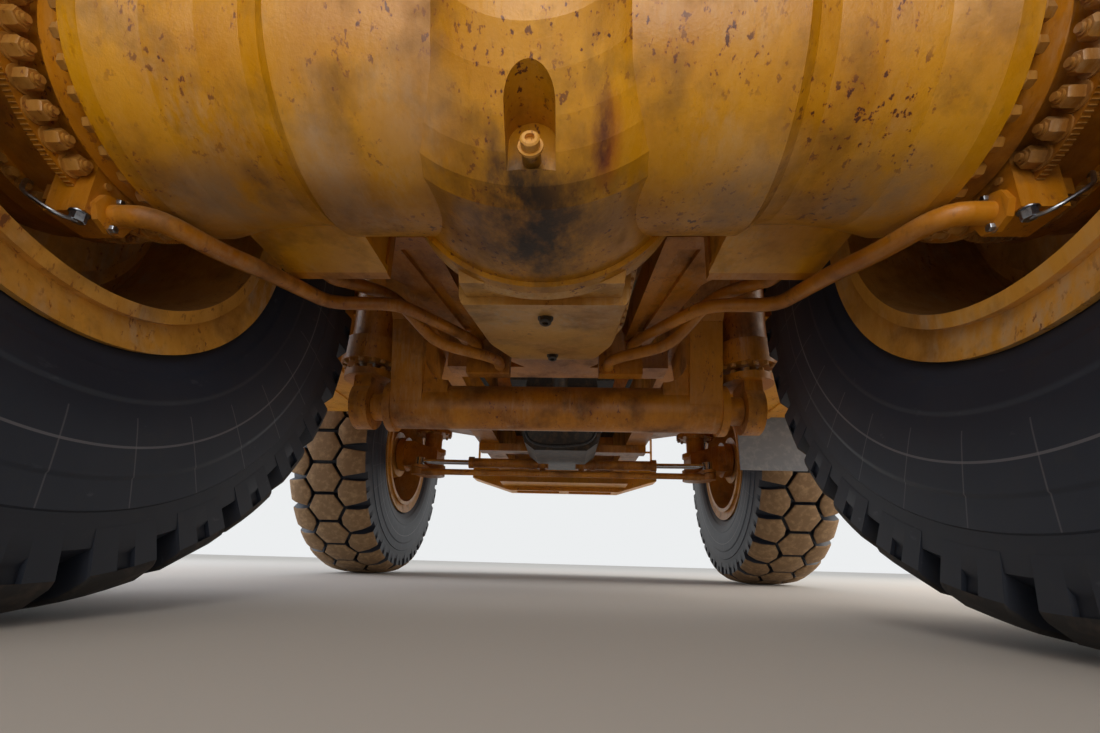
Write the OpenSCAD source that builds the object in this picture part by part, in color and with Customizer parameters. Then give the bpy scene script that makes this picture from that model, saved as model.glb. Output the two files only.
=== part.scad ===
// Rigid-frame mining dump truck, about 177 tonnes payload, parked empty with its bed down.
// Millimetres. +Z is up, the front faces -Y and the driver's left is +X.
// The origin is on the ground under the middle of the truck's length.
// Stations called v run forward from the rear axle; heights called z run up from the ground.

/* [Overall] */
// Distance between the front and rear axles
wheelbase = 5700; // [5500:50:5900]
// From the front axle to the face of the bumper
front_overhang = 2500; // [2400:20:2600]
// From the rear axle to the tail of the bed
tail_overhang = 3980; // [3900:20:4200]

/* [Tyres] */
// Radius of a tyre over its lugs, which is also the height of both axles
tyre_r = 1700; // [1680:5:1720]
// Section width of a tyre
tyre_w = 940; // [900:10:960]
// Depth of the rock lugs
lug_depth = 90; // [60:5:110]
// Lugs round each row
lug_count = 29; // [24:1:34]
// Radius where the tyre's bead sits on the rim
bead_r = 740; // [730:2:750]
// Middle of a front tyre from the centreline
front_wheel_x = 2715; // [2690:5:2740]
// Middle of an inner rear tyre from the centreline
dual_x = 1800; // [1790:5:1820]
// Distance between the middles of twin tyres
dual_pitch = 1160; // [1130:10:1200]

/* [Rear axle] */
// Radius of the axle housing's barrel
housing_r = 420; // [405:5:425]
// Radius of the bolted joint between the housing and the transmission
carrier_r = 530; // [510:5:540]
// Joint between the housing and each brake, from the centreline
brake_x = 1230; // [1210:5:1240]
// Radius of the brake cooling tubes
line_r = 34; // [28:1:36]

/* [Frame] */
// Inner face of each frame rail from the centreline
rail_in = 850; // [830:5:860]
// Width of each frame rail
rail_w = 270; // [240:5:270]
// Top of the frame rails
rail_top = 2700; // [2680:5:2710]
// Station of the lower cross tube
tube_v = 1975; // [1965:5:1985]
// Height of the lower cross tube
tube_z = 1250; // [1230:5:1270]
// Radius of the lower cross tube
tube_r = 155; // [140:5:165]

/* [Steering] */
// Kingpin of each front wheel from the centreline
kingpin_x = 1930; // [1920:5:1940]
// Steering ball, behind the kingpin
arm_back = 650; // [630:5:660]

/* [Bed] */
// Half the outside width of the bed
bed_half_w = 3470; // [3440:10:3480]
// Thickness of the side and front walls
wall_t = 90; // [60:5:110]
// Thickness of the floor
floor_t = 110; // [80:5:120]
// Height of the side rails
side_top = 5200; // [5100:20:5300]
// Height of the front edge of the canopy
canopy_z = 6130; // [6050:10:6200]
// Station of the bed's rear pivot
pivot_v = -1350; // [-1400:10:-1300]
// Height of the bed's rear pivot
pivot_z = 2500; // [2480:5:2520]

/* [Cab] */
// Inner side wall of the cab from the centreline
cab_in = 900; // [850:10:950]
// Width of the cab
cab_w = 1650; // [1500:10:1680]
// Height of the cab floor and of the deck
deck_z = 3620; // [3600:5:3640]
// Height of the cab's roof
cab_top = 5400; // [5350:10:5450]
// Thickness of the cab's walls and door
cab_t = 70; // [50:2:80]

/* [Hidden] */
$fn = 64;
paint = "goldenrod";
dark = "dimgray";
rubber = "darkslategray";

fit = 0.5;          // gap of a turning or sliding fit
seat = 0.3;         // gap of a curved seat that doesn't move
clear = 5;          // least gap between moving pieces
rail_out = rail_in + rail_w;
rear_y = (front_overhang + wheelbase - tail_overhang) / 2;
front_v = wheelbase;
nose_v = wheelbase + front_overhang;
nose_joint = tube_v + 225;
axle_z = tyre_r;

// Places a piece at x, v ahead of the rear axle and height z
module at(x, v, z) translate([x, rear_y - v, z]) children();

// A piece and its mirror image on the other side of the truck
module both() {
    children();
    mirror([1, 0, 0]) children();
}

// Keeps the left piece where side is 1 and mirrors it where side is -1
module sided(side) {
    if (side > 0) children();
    else mirror([1, 0, 0]) children();
}

// An outline of [v, z] points, extruded across the truck from x0 to x1
module side_plate(points, x0, x1) {
    translate([x0, 0, 0]) rotate([90, 0, 90]) linear_extrude(x1 - x0)
        polygon([for (p = points) [rear_y - p[0], p[1]]]);
}

// An outline of [x, z] points, extruded forward from v0 to v1
module front_plate(points, v0, v1) {
    translate([0, rear_y - v0, 0]) rotate([90, 0, 0]) linear_extrude(v1 - v0) polygon(points);
}

// An outline of [x, v] points, extruded up from z0 to z1
module flat_plate(points, z0, z1) {
    translate([0, 0, z0]) linear_extrude(z1 - z0)
        polygon([for (p = points) [p[0], rear_y - p[1]]]);
}

// A box between two corners, [x, v, z] each
module block(a, b) {
    translate([a[0], rear_y - b[1], a[2]]) cube([b[0] - a[0], b[1] - a[1], b[2] - a[2]]);
}

// A round bar along X, along Y or between two points in the [x, v, z] frame
module bar_x(r, x0, x1) translate([x0, 0, 0]) rotate([0, 90, 0]) cylinder(h = x1 - x0, r = r);
module bar_y(r, y0, y1) translate([0, y0, 0]) rotate([-90, 0, 0]) cylinder(h = y1 - y0, r = r);
function place(p) = [p[0], rear_y - p[1], p[2]];
module bar(p, q, r) {
    a = place(p);
    d = place(q) - a;
    translate(a) rotate([0, acos(d[2] / norm(d)), atan2(d[1], d[0])]) cylinder(h = norm(d), r = r);
}

// A bent tube along a list of [x, v, z] points, with an eight-sided coupling round each elbow
module tube_run(path, r) {
    inside = 0.82 * r;
    half_nut = 1.3 * r;
    nut_r = 1.46 * r;
    last = len(path) - 2;
    for (i = [0:last]) {
        run = path[i + 1] - path[i];
        way = run / norm(run);
        bar(path[i] + (i > 0 ? inside : 0) * way, path[i + 1] - (i < last ? inside : 0) * way, r);
        if (i < last) bar(path[i + 1] - half_nut * way, path[i + 1] + half_nut * way, nut_r, $fn = 8);
    }
}

// Stations and heights of the bed
rib_t = 110;
floor_front = [3750, 2850];
floor_knee = [0, 3610];
floor_tail = [-tail_overhang, 4330];
bed_nose = [4750, 5900];
beam_low = rail_top + 100;
inner_w = bed_half_w - rib_t - wall_t;
function under(v) = lookup(v, [floor_tail, floor_knee, floor_front]);
function wall_v(z) = floor_front[0] + (z - floor_front[1]) * (bed_nose[0] - floor_front[0])
    / (bed_nose[1] - floor_front[1]);
function canopy_under(v) = bed_nose[1] + (v - bed_nose[0]) * (canopy_z - bed_nose[1])
    / (nose_v - 150 - bed_nose[0]);

// Wheels and tyres
bead_half = 330;
rim_half = 430;
flange_r = 853;
tread_half = 0.48 * tyre_w;
shoulder_r = tyre_r - 200;
groove_r = tyre_r - lug_depth;
wide_r = 1130;
low_side = 405;
function side_x(r) = tyre_w / 2 - (r < wide_r
    ? (tyre_w / 2 - low_side) * pow((wide_r - r) / (wide_r - flange_r - 10), 2)
    : (tyre_w / 2 - tread_half - 5) * pow((r - wide_r) / (shoulder_r - wide_r), 2));
// Half section of the tyre's outside: radius and distance from its middle
tyre_side = concat(
    [[bead_r + fit, bead_half - fit], [bead_r + 60, bead_half - fit], [bead_r + 90, 375 - fit]],
    [for (k = [0:11]) let (r = flange_r + 10 + k / 11 * (shoulder_r - flange_r - 10)) [r, side_x(r)]]);
// Half section of the space inside it
tyre_inside = [[0, bead_half - 90], [bead_r + 60, bead_half - 90], [wide_r, 0.4 * tyre_w],
    [shoulder_r - 140, 0.37 * tyre_w], [shoulder_r - 30, 0.22 * tyre_w]];
// Half section of the tread before its grooves are cut
crown = [[shoulder_r - 60, tread_half], [tyre_r - 100, tread_half], [tyre_r - 64, 0.93 * tread_half],
    [tyre_r - 34, 0.8 * tread_half], [tyre_r - 12, 0.55 * tread_half], [tyre_r, 0.25 * tread_half]];
hex_tip = 0.48 * tread_half;
hex_flat = 0.26 * tread_half;
groove = 15;
notch = 54;

function flip(points) = [for (i = [len(points) - 1:-1:0]) [points[i][0], -points[i][1]]];
module turned(half) rotate([0, 90, 0]) rotate_extrude($fn = 96) polygon(concat(half, flip(half)));

// Grooves round one middle lug: a crossbar between two bent legs, cut from outside down to a radius.
// Its points are [across the tread, along it].
module hex_groove(angle) {
    reach = tyre_r * tan(180 / lug_count) + 4;
    wide = 1.3 * groove;
    inner = hex_flat - wide + (hex_tip - hex_flat) * groove / reach;
    right = [[hex_tip + wide, -reach], [hex_flat + wide, 0], [hex_tip + wide, reach], [hex_tip - wide, reach],
        [inner, groove]];
    left = [[-inner, groove], [wide - hex_tip, reach], [-hex_tip - wide, reach], [-hex_flat - wide, 0],
        [-hex_tip - wide, -reach], [wide - hex_tip, -reach], [-inner, -groove]];
    rotate([angle, 0, 0]) translate([0, 0, groove_r]) linear_extrude(lug_depth + 60)
        polygon(concat(right, left, [[inner, -groove], [hex_tip - wide, -reach]]));
}

// Notch between two shoulder lugs, wider and deeper towards the tyre's side
module shoulder_notch(angle) {
    out = tread_half + 6;
    top = tyre_r + 60;
    start = hex_tip - 10;
    for (side = [0, 1]) rotate([angle, 0, 0]) mirror([side, 0, 0]) intersection() {
        translate([0, 0, shoulder_r - 20]) linear_extrude(top - shoulder_r)
            polygon([[hex_tip, -groove], [out, -notch], [out, notch], [hex_tip, groove]]);
        rotate([90, 0, 0]) linear_extrude(2 * notch + 20, center = true)
            polygon([[start, groove_r], [out + 10, shoulder_r - 4], [out + 10, top], [start, top]]);
    }
}

module tyre() {
    pitch = 360 / lug_count;
    color(rubber) difference() {
        union() {
            turned(tyre_side);
            turned(crown);
        }
        turned(tyre_inside);
        bar_x(bead_r + fit, -bead_half - 10, bead_half + 10);
        for (i = [0:lug_count - 1]) {
            hex_groove((i + 0.5) * pitch);
            shoulder_notch(i * pitch);
        }
    }
}

// Rim: a barrel with a flange at each edge
module rim_ring() {
    turned([[690, rim_half], [bead_r, rim_half], [bead_r, 400], [flange_r, 425], [flange_r, 400],
        [bead_r + 90, 375], [bead_r + 60, bead_half], [bead_r, bead_half]]);
}

front_hub_r = 330;
spindle_r = 150;
rear_spindle_r = 420;
hub_r = 610;

// Front wheel's rim, disc and hub, around the origin, outboard towards +X
module front_rim() {
    color(paint) difference() {
        union() {
            rim_ring();
            rotate([0, 90, 0]) rotate_extrude() polygon([[spindle_r + fit, -300], [front_hub_r, -300],
                [front_hub_r + 60, -60], [560, 20], [690, 60], [690, 140], [540, 110], [400, 140], [300, 260],
                [180, 300], [0, 300], [0, 215], [spindle_r + fit, 215]]);
        }
    }
}

// Twin rims with the final drive's hub, around the axle line, outboard towards +X
module rear_rims() {
    in = dual_x;
    out = dual_x + dual_pitch;
    color(paint) union() {
        translate([in, 0, 0]) rim_ring();
        translate([out, 0, 0]) rim_ring();
        rotate([0, 90, 0]) rotate_extrude() polygon([[rear_spindle_r + fit, in - 10], [545, in - 10],
            [545, in + 45], [hub_r, in + 45], [hub_r, in + 90], [690, in + 140],
            [690, in + 240], [hub_r, in + 260], [hub_r, out - 300],
            [690, out - 240], [690, out - 140], [hub_r, out - 120], [hub_r - 60, out + 80], [440, out + 130],
            [420, out + 240], [0, out + 260], [0, out + 110], [rear_spindle_r + fit, out + 60]]);
        rotate([0, 90, 0]) difference() {
            translate([0, 0, in + rim_half - 5])
                cylinder(h = dual_pitch - 2 * rim_half + 10, r = bead_r - 10);
            translate([0, 0, in + rim_half - 10]) cylinder(h = dual_pitch - 2 * rim_half + 20, r = 690);
        }
    }
}

module tyre_front_left() at(front_wheel_x, front_v, axle_z) tyre();
module tyre_front_right() at(-front_wheel_x, front_v, axle_z) tyre();
module rim_front(side) sided(side) at(front_wheel_x, front_v, axle_z) front_rim();
module tyres_rear(side) for (x = [dual_x, dual_x + dual_pitch]) at(side * x, 0, axle_z) tyre();
module rims_rear(side) sided(side) at(0, 0, axle_z) rear_rims();

// Frame
rail_low = 1800;
arch_z = 2260;
rail_z = 1750;
rail_end = nose_v - 1050;
horn_z = 2350;
rail_outline = [[pivot_v - 130, rail_top], [pivot_v - 240, rail_top - 90], [pivot_v - 240, arch_z + 60],
    [1200, arch_z], [1700, rail_low], [3100, rail_z], [rail_end, rail_z], [rail_end, horn_z],
    [front_v - 1000, horn_z + 100], [front_v - 1500, rail_top]];
leg_in = 905;
collar_x = rail_out + 50;
function rail_under(v) = lookup(v, [[1700, rail_low], [3100, rail_z], [rail_end, rail_z]]);

module frame_rails() {
    color(paint) both() side_plate(rail_outline, rail_in, rail_out);
}

// Lower cross tube between two legs that hang from the rails, with a pin at each end for a hoist
module frame_cross_tube() {
    fillet = 170;
    color(paint) {
        at(0, tube_v, tube_z) bar_x(tube_r, -collar_x, collar_x);
        at(0, tube_v, tube_z) bar_x(hoist_pin_r, -hoist_x - 100, hoist_x + 100);
        both() {
            side_plate([[tube_v - 270, rail_under(tube_v - 270)], [tube_v - tube_r, tube_z],
                [tube_v + tube_r, tube_z], [tube_v + 370, rail_under(tube_v + 370)]], leg_in, rail_out);
            at(0, tube_v, tube_z) bar_x(tube_r + 22, rail_out, collar_x);
            at(0, tube_v, tube_z) bar_x(100, collar_x, hoist_x - 60 - clear);
            // The foot of each leg spreads along the tube in a hollow curve
            difference() {
                block([leg_in - fillet, tube_v - tube_r + 15, tube_z],
                    [leg_in, tube_v + tube_r - 15, tube_z + tube_r + fillet]);
                at(leg_in - fillet, tube_v, tube_z + tube_r + fillet) bar_y(fillet, -200, 200);
            }
        }
    }
}

// Front cross members and the towers that carry the struts
module front_frame() {
    face_v = front_v - 350;
    color(paint) {
        block([-rail_in, face_v, rail_z], [rail_in, face_v + 100, rail_z + 35]);
        block([-rail_out, steer_pin[1] - 100, bracket_top], [rail_out, steer_pin[1] + 100, rail_z]);
        block([-rail_in, rail_end - 150, rail_z], [rail_in, rail_end, horn_z]);
        both() difference() {
            front_plate([[rail_out, 2050], [kingpin_x - 150, 2150], [kingpin_x, 2150], [kingpin_x, 3150],
                [rail_out, 3150]], face_v, front_v + 350);
            at(kingpin_x, front_v, 2000) cylinder(h = 1300, r = strut_r + seat);
            block([rail_out + 60, front_v - 250, 2250], [kingpin_x - strut_r - 80, front_v + 250, 3250]);
        }
        // Bowed cross member over the engine's tail
        front_plate([[-rail_out, 2460], [-660, 2460], [-660, 3020], [660, 3020], [660, 2460],
            [rail_out, 2460], [rail_out, 3150], [-rail_out, 3150]], face_v, face_v + 100);
    }
}

// Bracket under the front cross member, with a pin for each steering cylinder
module steering_bracket() {
    half = steer_pin[0] + 70;
    color(paint) {
        difference() {
            block([-half, steer_pin[1] - 100, 1585], [half, steer_pin[1] + 100, bracket_top]);
            at(0, steer_pin[1], 1560) rotate([90, 0, 0]) cylinder(h = 210, r = 90, center = true);
        }
        both() at(steer_pin[0], steer_pin[1], steer_z - 95) cylinder(h = 200, r = 40);
    }
}

// Rear cross members, pivot pins of the bed and brackets of the rear struts
module rear_frame() {
    color(paint) {
        block([-rail_in, pivot_v - 200, arch_z + 60], [rail_in, pivot_v, rail_top - 60]);
        block([-rail_in, nose_joint - 300, 2420], [rail_in, nose_joint, rail_top]);
        block([-rail_in, nose_joint, 1660], [rail_in, nose_joint + 220, 1845]);
        both() at(0, pivot_v, pivot_z) bar_x(90, rail_out, 1290);
        block([-rail_in, -450, rail_top - 100], [rail_in, -150, rail_top]);
    }
}

strut_r = 210;
rod_r = 125;

module front_struts() {
    color(paint) both() at(kingpin_x, front_v, 2000) difference() {
        union() {
            cylinder(h = 1200, r = strut_r);
            cylinder(h = 60, r = strut_r + 50);
            translate([0, 0, 1200]) cylinder(h = 60, r = strut_r - 60);
        }
        translate([0, 0, -10]) cylinder(h = 900, r = rod_r + fit);
    }
}

// Rear axle. The housing is a barrel along the axle, with a bowl behind its middle and a bolted joint to the
// transmission ahead of it.
joint_v = 300;
pad_z = 1400;
pad_v = 540;
barrel_half = [[0, 0], [housing_r, 0], [housing_r, 690], [housing_r - 28, 725], [housing_r - 38, 780],
    [housing_r - 36, 900], [housing_r - 24, 1040], [housing_r - 4, 1130], [housing_r + 8, brake_x - 52],
    [housing_r + 8, brake_x], [0, brake_x]];
bowl = [[0, -480], [150, -470], [250, -425], [330, -365], [400, -300], [455, -240], [500, -175],
    [carrier_r - 8, -110], [carrier_r - 8, joint_v - 40], [carrier_r + 12, joint_v - 40],
    [carrier_r + 12, joint_v], [0, joint_v]];

module axle_housing() {
    niche = 66;
    color(paint) {
        at(0, 0, axle_z) difference() {
            union() {
                both() rotate([0, 90, 0]) rotate_extrude() polygon(barrel_half);
                rotate([90, 0, 0]) rotate_extrude() polygon(bowl);
            }
            // Arched niche of the drain plug, low on the bowl
            translate([0, 200, -375]) rotate([-90, 0, 0]) cylinder(h = 300, r = niche);
            translate([-niche, 200, -475]) cube([2 * niche, 300, 100]);
            // Seat of the transmission
            translate([0, -joint_v, 0]) rotate([90, 0, 0]) cylinder(h = 200, r = carrier_r + 12 + seat);
        }
        at(0, -200, axle_z - 440) rotate([-90, 0, 0]) cylinder(h = 45, r = 26);
        both() {
            // Pads that the A-frame bolts to
            difference() {
                union() {
                    block([700, 120, pad_z], [1120, pad_v, 1820]);
                    block([685, 120, pad_z], [1135, pad_v, pad_z + 28]);
                }
                block([760, pad_v - 140, pad_z + 60], [1060, pad_v - 60, 1830]);
            }
            // Lugs of the rear struts
            side_plate([[-470, 2130], [-130, 2130], [-60, 2020], [-330, 1850], [-560, 2060]], 540, 700);
        }
    }
}

// Brakes: static drums between the axle's flanges and the hubs, with the flange of the cooling tube
module brake_housings() {
    ring_x = brake_x + 165;
    flange_x = brake_x + 350;
    spindle_end = dual_x + dual_pitch + 40;
    color(paint) both() at(0, 0, axle_z) {
        rotate([0, 90, 0]) rotate_extrude() polygon([[0, brake_x], [385, brake_x], [385, brake_x + 100],
            [350, brake_x + 112], [350, ring_x], [442, ring_x], [442, ring_x + 25], [392, ring_x + 40],
            [392, flange_x], [446, flange_x], [446, flange_x + 60], [rear_spindle_r, flange_x + 60],
            [rear_spindle_r, spindle_end], [0, spindle_end]]);
        translate([ring_x - 55, -20, -515]) cube([130, 130, 190]);
        translate([ring_x + 85, 10, -440]) cube([60, 60, 90]);
    }
}

// Transmission: a case on the axle's joint, a pan below it and the output end
pan_low = [[joint_v + seat, 1200], [1500, 1440], [1620, 1520]];
function pan_z(v) = lookup(v, pan_low);

module transmission() {
    case_r = 400;
    case_z = axle_z + 250;
    color(paint) {
        at(0, joint_v + seat, axle_z) rotate([90, 0, 0]) cylinder(h = 45, r = carrier_r + 12);
        at(0, joint_v + seat, axle_z) rotate([90, 0, 0]) rotate_extrude()
            polygon([[0, 0], [480, 0], [480, 60], [400, 420], [330, 520], [0, 520]]);
        at(0, 560, case_z) rotate([90, 0, 0]) cylinder(h = 1040, r = case_r - 30);
        for (v = [640, 1000, 1360]) at(0, v, case_z) rotate([90, 0, 0]) cylinder(h = 60, r = case_r);
        // The pan's sides lean out to its rim, and its bottom rises and narrows to the front
        difference() {
            intersection() {
                side_plate(concat(pan_low, [[1620, 1800], [joint_v + seat, 1800]]), -400, 400);
                union() {
                    flat_plate([[-315, joint_v], [315, joint_v], [255, 1500], [225, 1640], [-225, 1640],
                        [-255, 1500]], 1100, 1800);
                    block([-400, joint_v, 1600], [400, 1640, 1800]);
                }
                front_plate([[-300, 1150], [300, 1150], [375, 1800], [-375, 1800]], joint_v, 1640);
            }
            side_plate([[900, pan_z(900) - 10], [900, pan_z(900) + 16], [1330, pan_z(1330) + 16],
                [1330, pan_z(1330) - 10]], -150, 150);
        }
        flat_plate([[-400, 420], [400, 420], [350, 1500], [300, 1640], [-300, 1640], [-350, 1500]],
            1600, 1632);
    }
}

// A-frame that carries the axle: two box arms to a nose under the frame's cross member
arm_under = 1615;
module axle_frame() {
    foot = pad_v + 50;
    manifold_v = 1640;
    color(paint) {
        both() {
            block([690, pad_v, pad_z], [1130, foot, 1820]);
            difference() {
                flat_plate([[530, foot], [1080, foot], [1040, foot + 60], [780, 980], [600, 1800],
                    [500, 2000], [445, 1800]], arm_under, 1800);
                flat_plate([[600, foot + 90], [700, foot + 90], [560, 1500], [520, 1500]], arm_under - 5,
                    arm_under + 25);
            }
        }
        flat_plate([[-560, 1700], [560, 1700], [560, 1850], [250, nose_joint], [-250, nose_joint],
            [-560, 1850]], 1660, 1800);
        at(0, 1990, 1630) cylinder(h = 40, r = 130);
        // Blocks that the cooling tubes run into
        both() block([290, manifold_v, 1385], [570, manifold_v + 90, 1670]);
    }
}

module rear_struts() {
    foot_z = 2130;
    color(paint) both() at(620, -300, foot_z) {
        cylinder(h = 30, r = 130);
        translate([0, 0, 30]) cylinder(h = 110, r = 85);
        translate([0, 0, 140]) cylinder(h = 40, r = 150);
        translate([0, 0, 180]) cylinder(h = rail_top - 100 - foot_z - 180, r = 125);
    }
}

module drive_shaft() {
    tail = 1600;
    length = engine_v - 60 - tail;
    color(dark) at(0, tail, axle_z + 250) rotate([90, 0, 0]) {
        cylinder(h = length, r = 75);
        cylinder(h = 40, r = 130);
        translate([0, 0, 30]) cylinder(h = 170, r = 95);
        translate([0, 0, length - 160]) cylinder(h = 160, r = 110);
    }
}

// Cooling tubes, from the brakes and the A-frame's feet to the blocks near its nose
brake_line = [[brake_x + 110, -40, 1218], [1190, -40, 1218], [1140, 180, 1245], [1100, 360, 1290],
    [1100, 860, 1435], [800, 960, 1490], [700, 1120, 1505], [500, 1550, 1560], [500, 1640, 1560]];
return_line = [[1020, pad_v + 50, 1475], [1020, 700, 1475], [990, 820, 1530], [850, 1050, 1585],
    [690, 1320, 1440], [350, 1520, 1430], [350, 1640, 1430]];
module brake_tubes() {
    $fn = 24;
    color(paint) both() {
        tube_run(brake_line, line_r);
        tube_run(return_line, line_r);
    }
}

// Engine and nose
engine_v = front_v - 1600;
module engine() {
    head_pitch = 370;
    color(dark) {
        block([-400, engine_v, 1800], [400, engine_v + 2400, 2500]);
        front_plate([[-620, 2300], [620, 2300], [560, 2780], [240, 2960], [-240, 2960], [-560, 2780]],
            engine_v + 30, engine_v + 2370);
        for (k = [0:5]) block([-600, engine_v + 120 + k * head_pitch, 2700],
            [600, engine_v + 400 + k * head_pitch, 2860]);
        front_plate([[-500, 1800], [-420, 1540], [-300, 1450], [300, 1450], [420, 1540], [500, 1800]],
            engine_v + 50, engine_v + 850);
        block([-300, engine_v + 1400, 1640], [300, engine_v + 2300, 1810]);
        // Flywheel housing and fan
        at(0, engine_v - 60, 2150) rotate([90, 0, 0]) cylinder(h = 60, r = 420);
        at(0, engine_v + 2400, 2450) rotate([90, 0, 0]) cylinder(h = 160, r = 110);
        for (a = [0:45:315]) at(0, engine_v + 2480, 2450) rotate([0, a, 0]) rotate([0, 0, 35])
            translate([-60, -8, 90]) cube([120, 16, 460]);
    }
}

core_low = 2050;
core_top = deck_z - 200;
grille_v = nose_v - 1040;
module radiator() {
    bar_t = 26;
    color(dark) block([-1050, grille_v + 40, core_low], [1050, grille_v + 260, core_top]);
    color(paint) {
        difference() {
            block([-1150, grille_v, core_low - 100], [1150, grille_v + 400, core_top + 100]);
            block([-1050, grille_v - 10, core_low], [1050, grille_v + 410, core_top]);
        }
        for (k = [1:7]) block([-1055, grille_v + 340, core_low + k * (core_top - core_low) / 8],
            [1055, grille_v + 390, core_low + k * (core_top - core_low) / 8 + bar_t]);
        for (x = [-530, 0, 530])
            block([x - 20, grille_v + 330, core_low - 5], [x + 20, grille_v + 365, core_top + 5]);
    }
}

bumper_v = nose_v - 560;
bumper_top = 2040;
bumper_face = nose_v - 150;
lamp_in = 1150;
lamp_out = 1500;
lamp_back = nose_v - 320;
module front_bumper() {
    tow_x = 700;
    tow_r = 45;
    color(paint) {
        difference() {
            front_plate([[-1000, 1480], [1000, 1480], [1700, 1700], [1700, bumper_top], [-1700, bumper_top],
                [-1700, 1700]], bumper_v, bumper_face);
            both() block([lamp_in, lamp_back, 1790], [lamp_out, nose_v, 1970]);
            // The guard is open below, between its ribs
            both() block([90, bumper_v + 60, 1400], [880, bumper_face - 60, 1640]);
        }
        block([-rail_out, rail_end, 1560], [rail_out, bumper_v, core_low - 100]);
        // Towing eyes
        both() difference() {
            union() {
                block([tow_x - 40, bumper_face - 10, 1595], [tow_x + 40, nose_v - 95, 1785]);
                at(tow_x, nose_v - 95, 1690) bar_x(95, -40, 40);
            }
            at(tow_x, nose_v - 85, 1690) bar_x(tow_r, -50, 50);
        }
        // Step plates over the bumper
        block([-1700, bumper_v, bumper_top - 5], [1700, bumper_face, bumper_top + 20]);
    }
}

module headlamps() {
    color("white") both() for (x = [lamp_in + 90, lamp_out - 90])
        at(x, lamp_back, 1880) rotate([90, 0, 0]) cylinder(h = 130, r = 72);
}

deck_out = 3420;
deck_v = [front_v - 940, nose_v - 500];
module deck() {
    color(paint) {
        block([-deck_out, deck_v[0], deck_z - 60], [deck_out, deck_v[1], deck_z]);
        both() {
            block([1200, deck_v[1], deck_z - 60], [3200, deck_v[1] + 200, deck_z]);
            block([deck_out - 60, deck_v[0], deck_z - 220], [deck_out, deck_v[1], deck_z - 55]);
            for (v = [deck_v[0] + 300, front_v + 340, deck_v[1] - 300])
                block([rail_out + 200, v, deck_z - 180], [deck_out - 50, v + 80, deck_z - 55]);
            // Posts between the strut towers and the deck
            block([rail_out + 20, front_v - 330, 3150], [rail_out + 200, front_v - 200, deck_z - 55]);
        }
    }
}

module handrails() {
    x = deck_out - 30;
    ends = [deck_v[0] + 100, deck_v[1] - 100];
    posts = 4;
    color(paint) both() {
        for (k = [0:posts - 1]) at(x, ends[0] + k * (ends[1] - ends[0]) / (posts - 1), deck_z)
            cylinder(h = 1050, r = 24);
        bar([x, ends[0], deck_z + 1050], [x, ends[1], deck_z + 1050], 24);
        bar([x, ends[0], deck_z + 550], [x, ends[1], deck_z + 550], 20);
    }
}

module ladders() {
    foot_z = bumper_top + 20;
    top_v = deck_v[1] + 110;
    foot_v = bumper_face - 20;
    rungs = 5;
    color(paint) both() {
        for (x = [1250, 1650]) side_plate([[foot_v, foot_z], [foot_v - 80, foot_z], [top_v, deck_z - 60],
            [top_v + 80, deck_z - 60]], x, x + 30);
        for (k = [1:rungs]) at(1280, foot_v - 40 - (foot_v - top_v - 80) * k / (rungs + 1),
            foot_z + (deck_z - 60 - foot_z) * k / (rungs + 1)) bar_x(20, 0, 370);
    }
}

// Cab
cab_back = front_v - 650;
cab_front = cab_back + 1850;
cab_out = cab_in + cab_w;
window_z = deck_z + 850;
door_v = [cab_front - 1120, cab_front - 400];
hinge_z = [deck_z + 250, cab_top - 420];

module cab_shell() {
    color(paint) difference() {
        side_plate([[cab_back, deck_z], [cab_front, deck_z], [cab_front, window_z],
            [cab_front - 120, cab_top], [cab_back, cab_top]], cab_in, cab_out);
        side_plate([[cab_back + cab_t, deck_z + cab_t], [cab_front - cab_t, deck_z + cab_t],
            [cab_front - cab_t, window_z], [cab_front - 120 - cab_t, cab_top - cab_t],
            [cab_back + cab_t, cab_top - cab_t]], cab_in + cab_t, cab_out - cab_t);
        block([cab_in + 130, cab_front - 300, window_z], [cab_out - 130, cab_front + 10, cab_top - 160]);
        block([cab_in - 10, cab_back + 200, window_z], [cab_in + cab_t + 10, cab_front - 260, cab_top - 160]);
        block([cab_in + 200, cab_back - 10, window_z], [cab_out - 200, cab_back + cab_t + 10, cab_top - 160]);
        block([cab_out - cab_t - 10, door_v[0] - clear, deck_z + cab_t],
            [cab_out + 10, door_v[1] + clear, cab_top - 130]);
    }
    color(paint) for (z = hinge_z) at(cab_out + 25, door_v[1] + 20, z) {
        translate([0, 0, -35]) cylinder(h = 190, r = 10);
        translate([0, 0, -35]) hinge_ear();
        translate([0, 0, 125]) hinge_ear();
    }
}

module hinge_ear() {
    cylinder(h = 30, r = 22);
    translate([-25, -40, 0]) cube([25, 50, 30]);
}

module cab_glass() {
    color("lightblue", 0.4) {
        side_plate([[cab_front - 40, window_z], [cab_front - 20, window_z], [cab_front - 118, cab_top - 160],
            [cab_front - 138, cab_top - 160]], cab_in + 130, cab_out - 130);
        block([cab_in + 25, cab_back + 200, window_z], [cab_in + 45, cab_front - 260, cab_top - 160]);
        block([cab_in + 200, cab_back + 25, window_z], [cab_out - 200, cab_back + 45, cab_top - 160]);
    }
}

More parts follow.
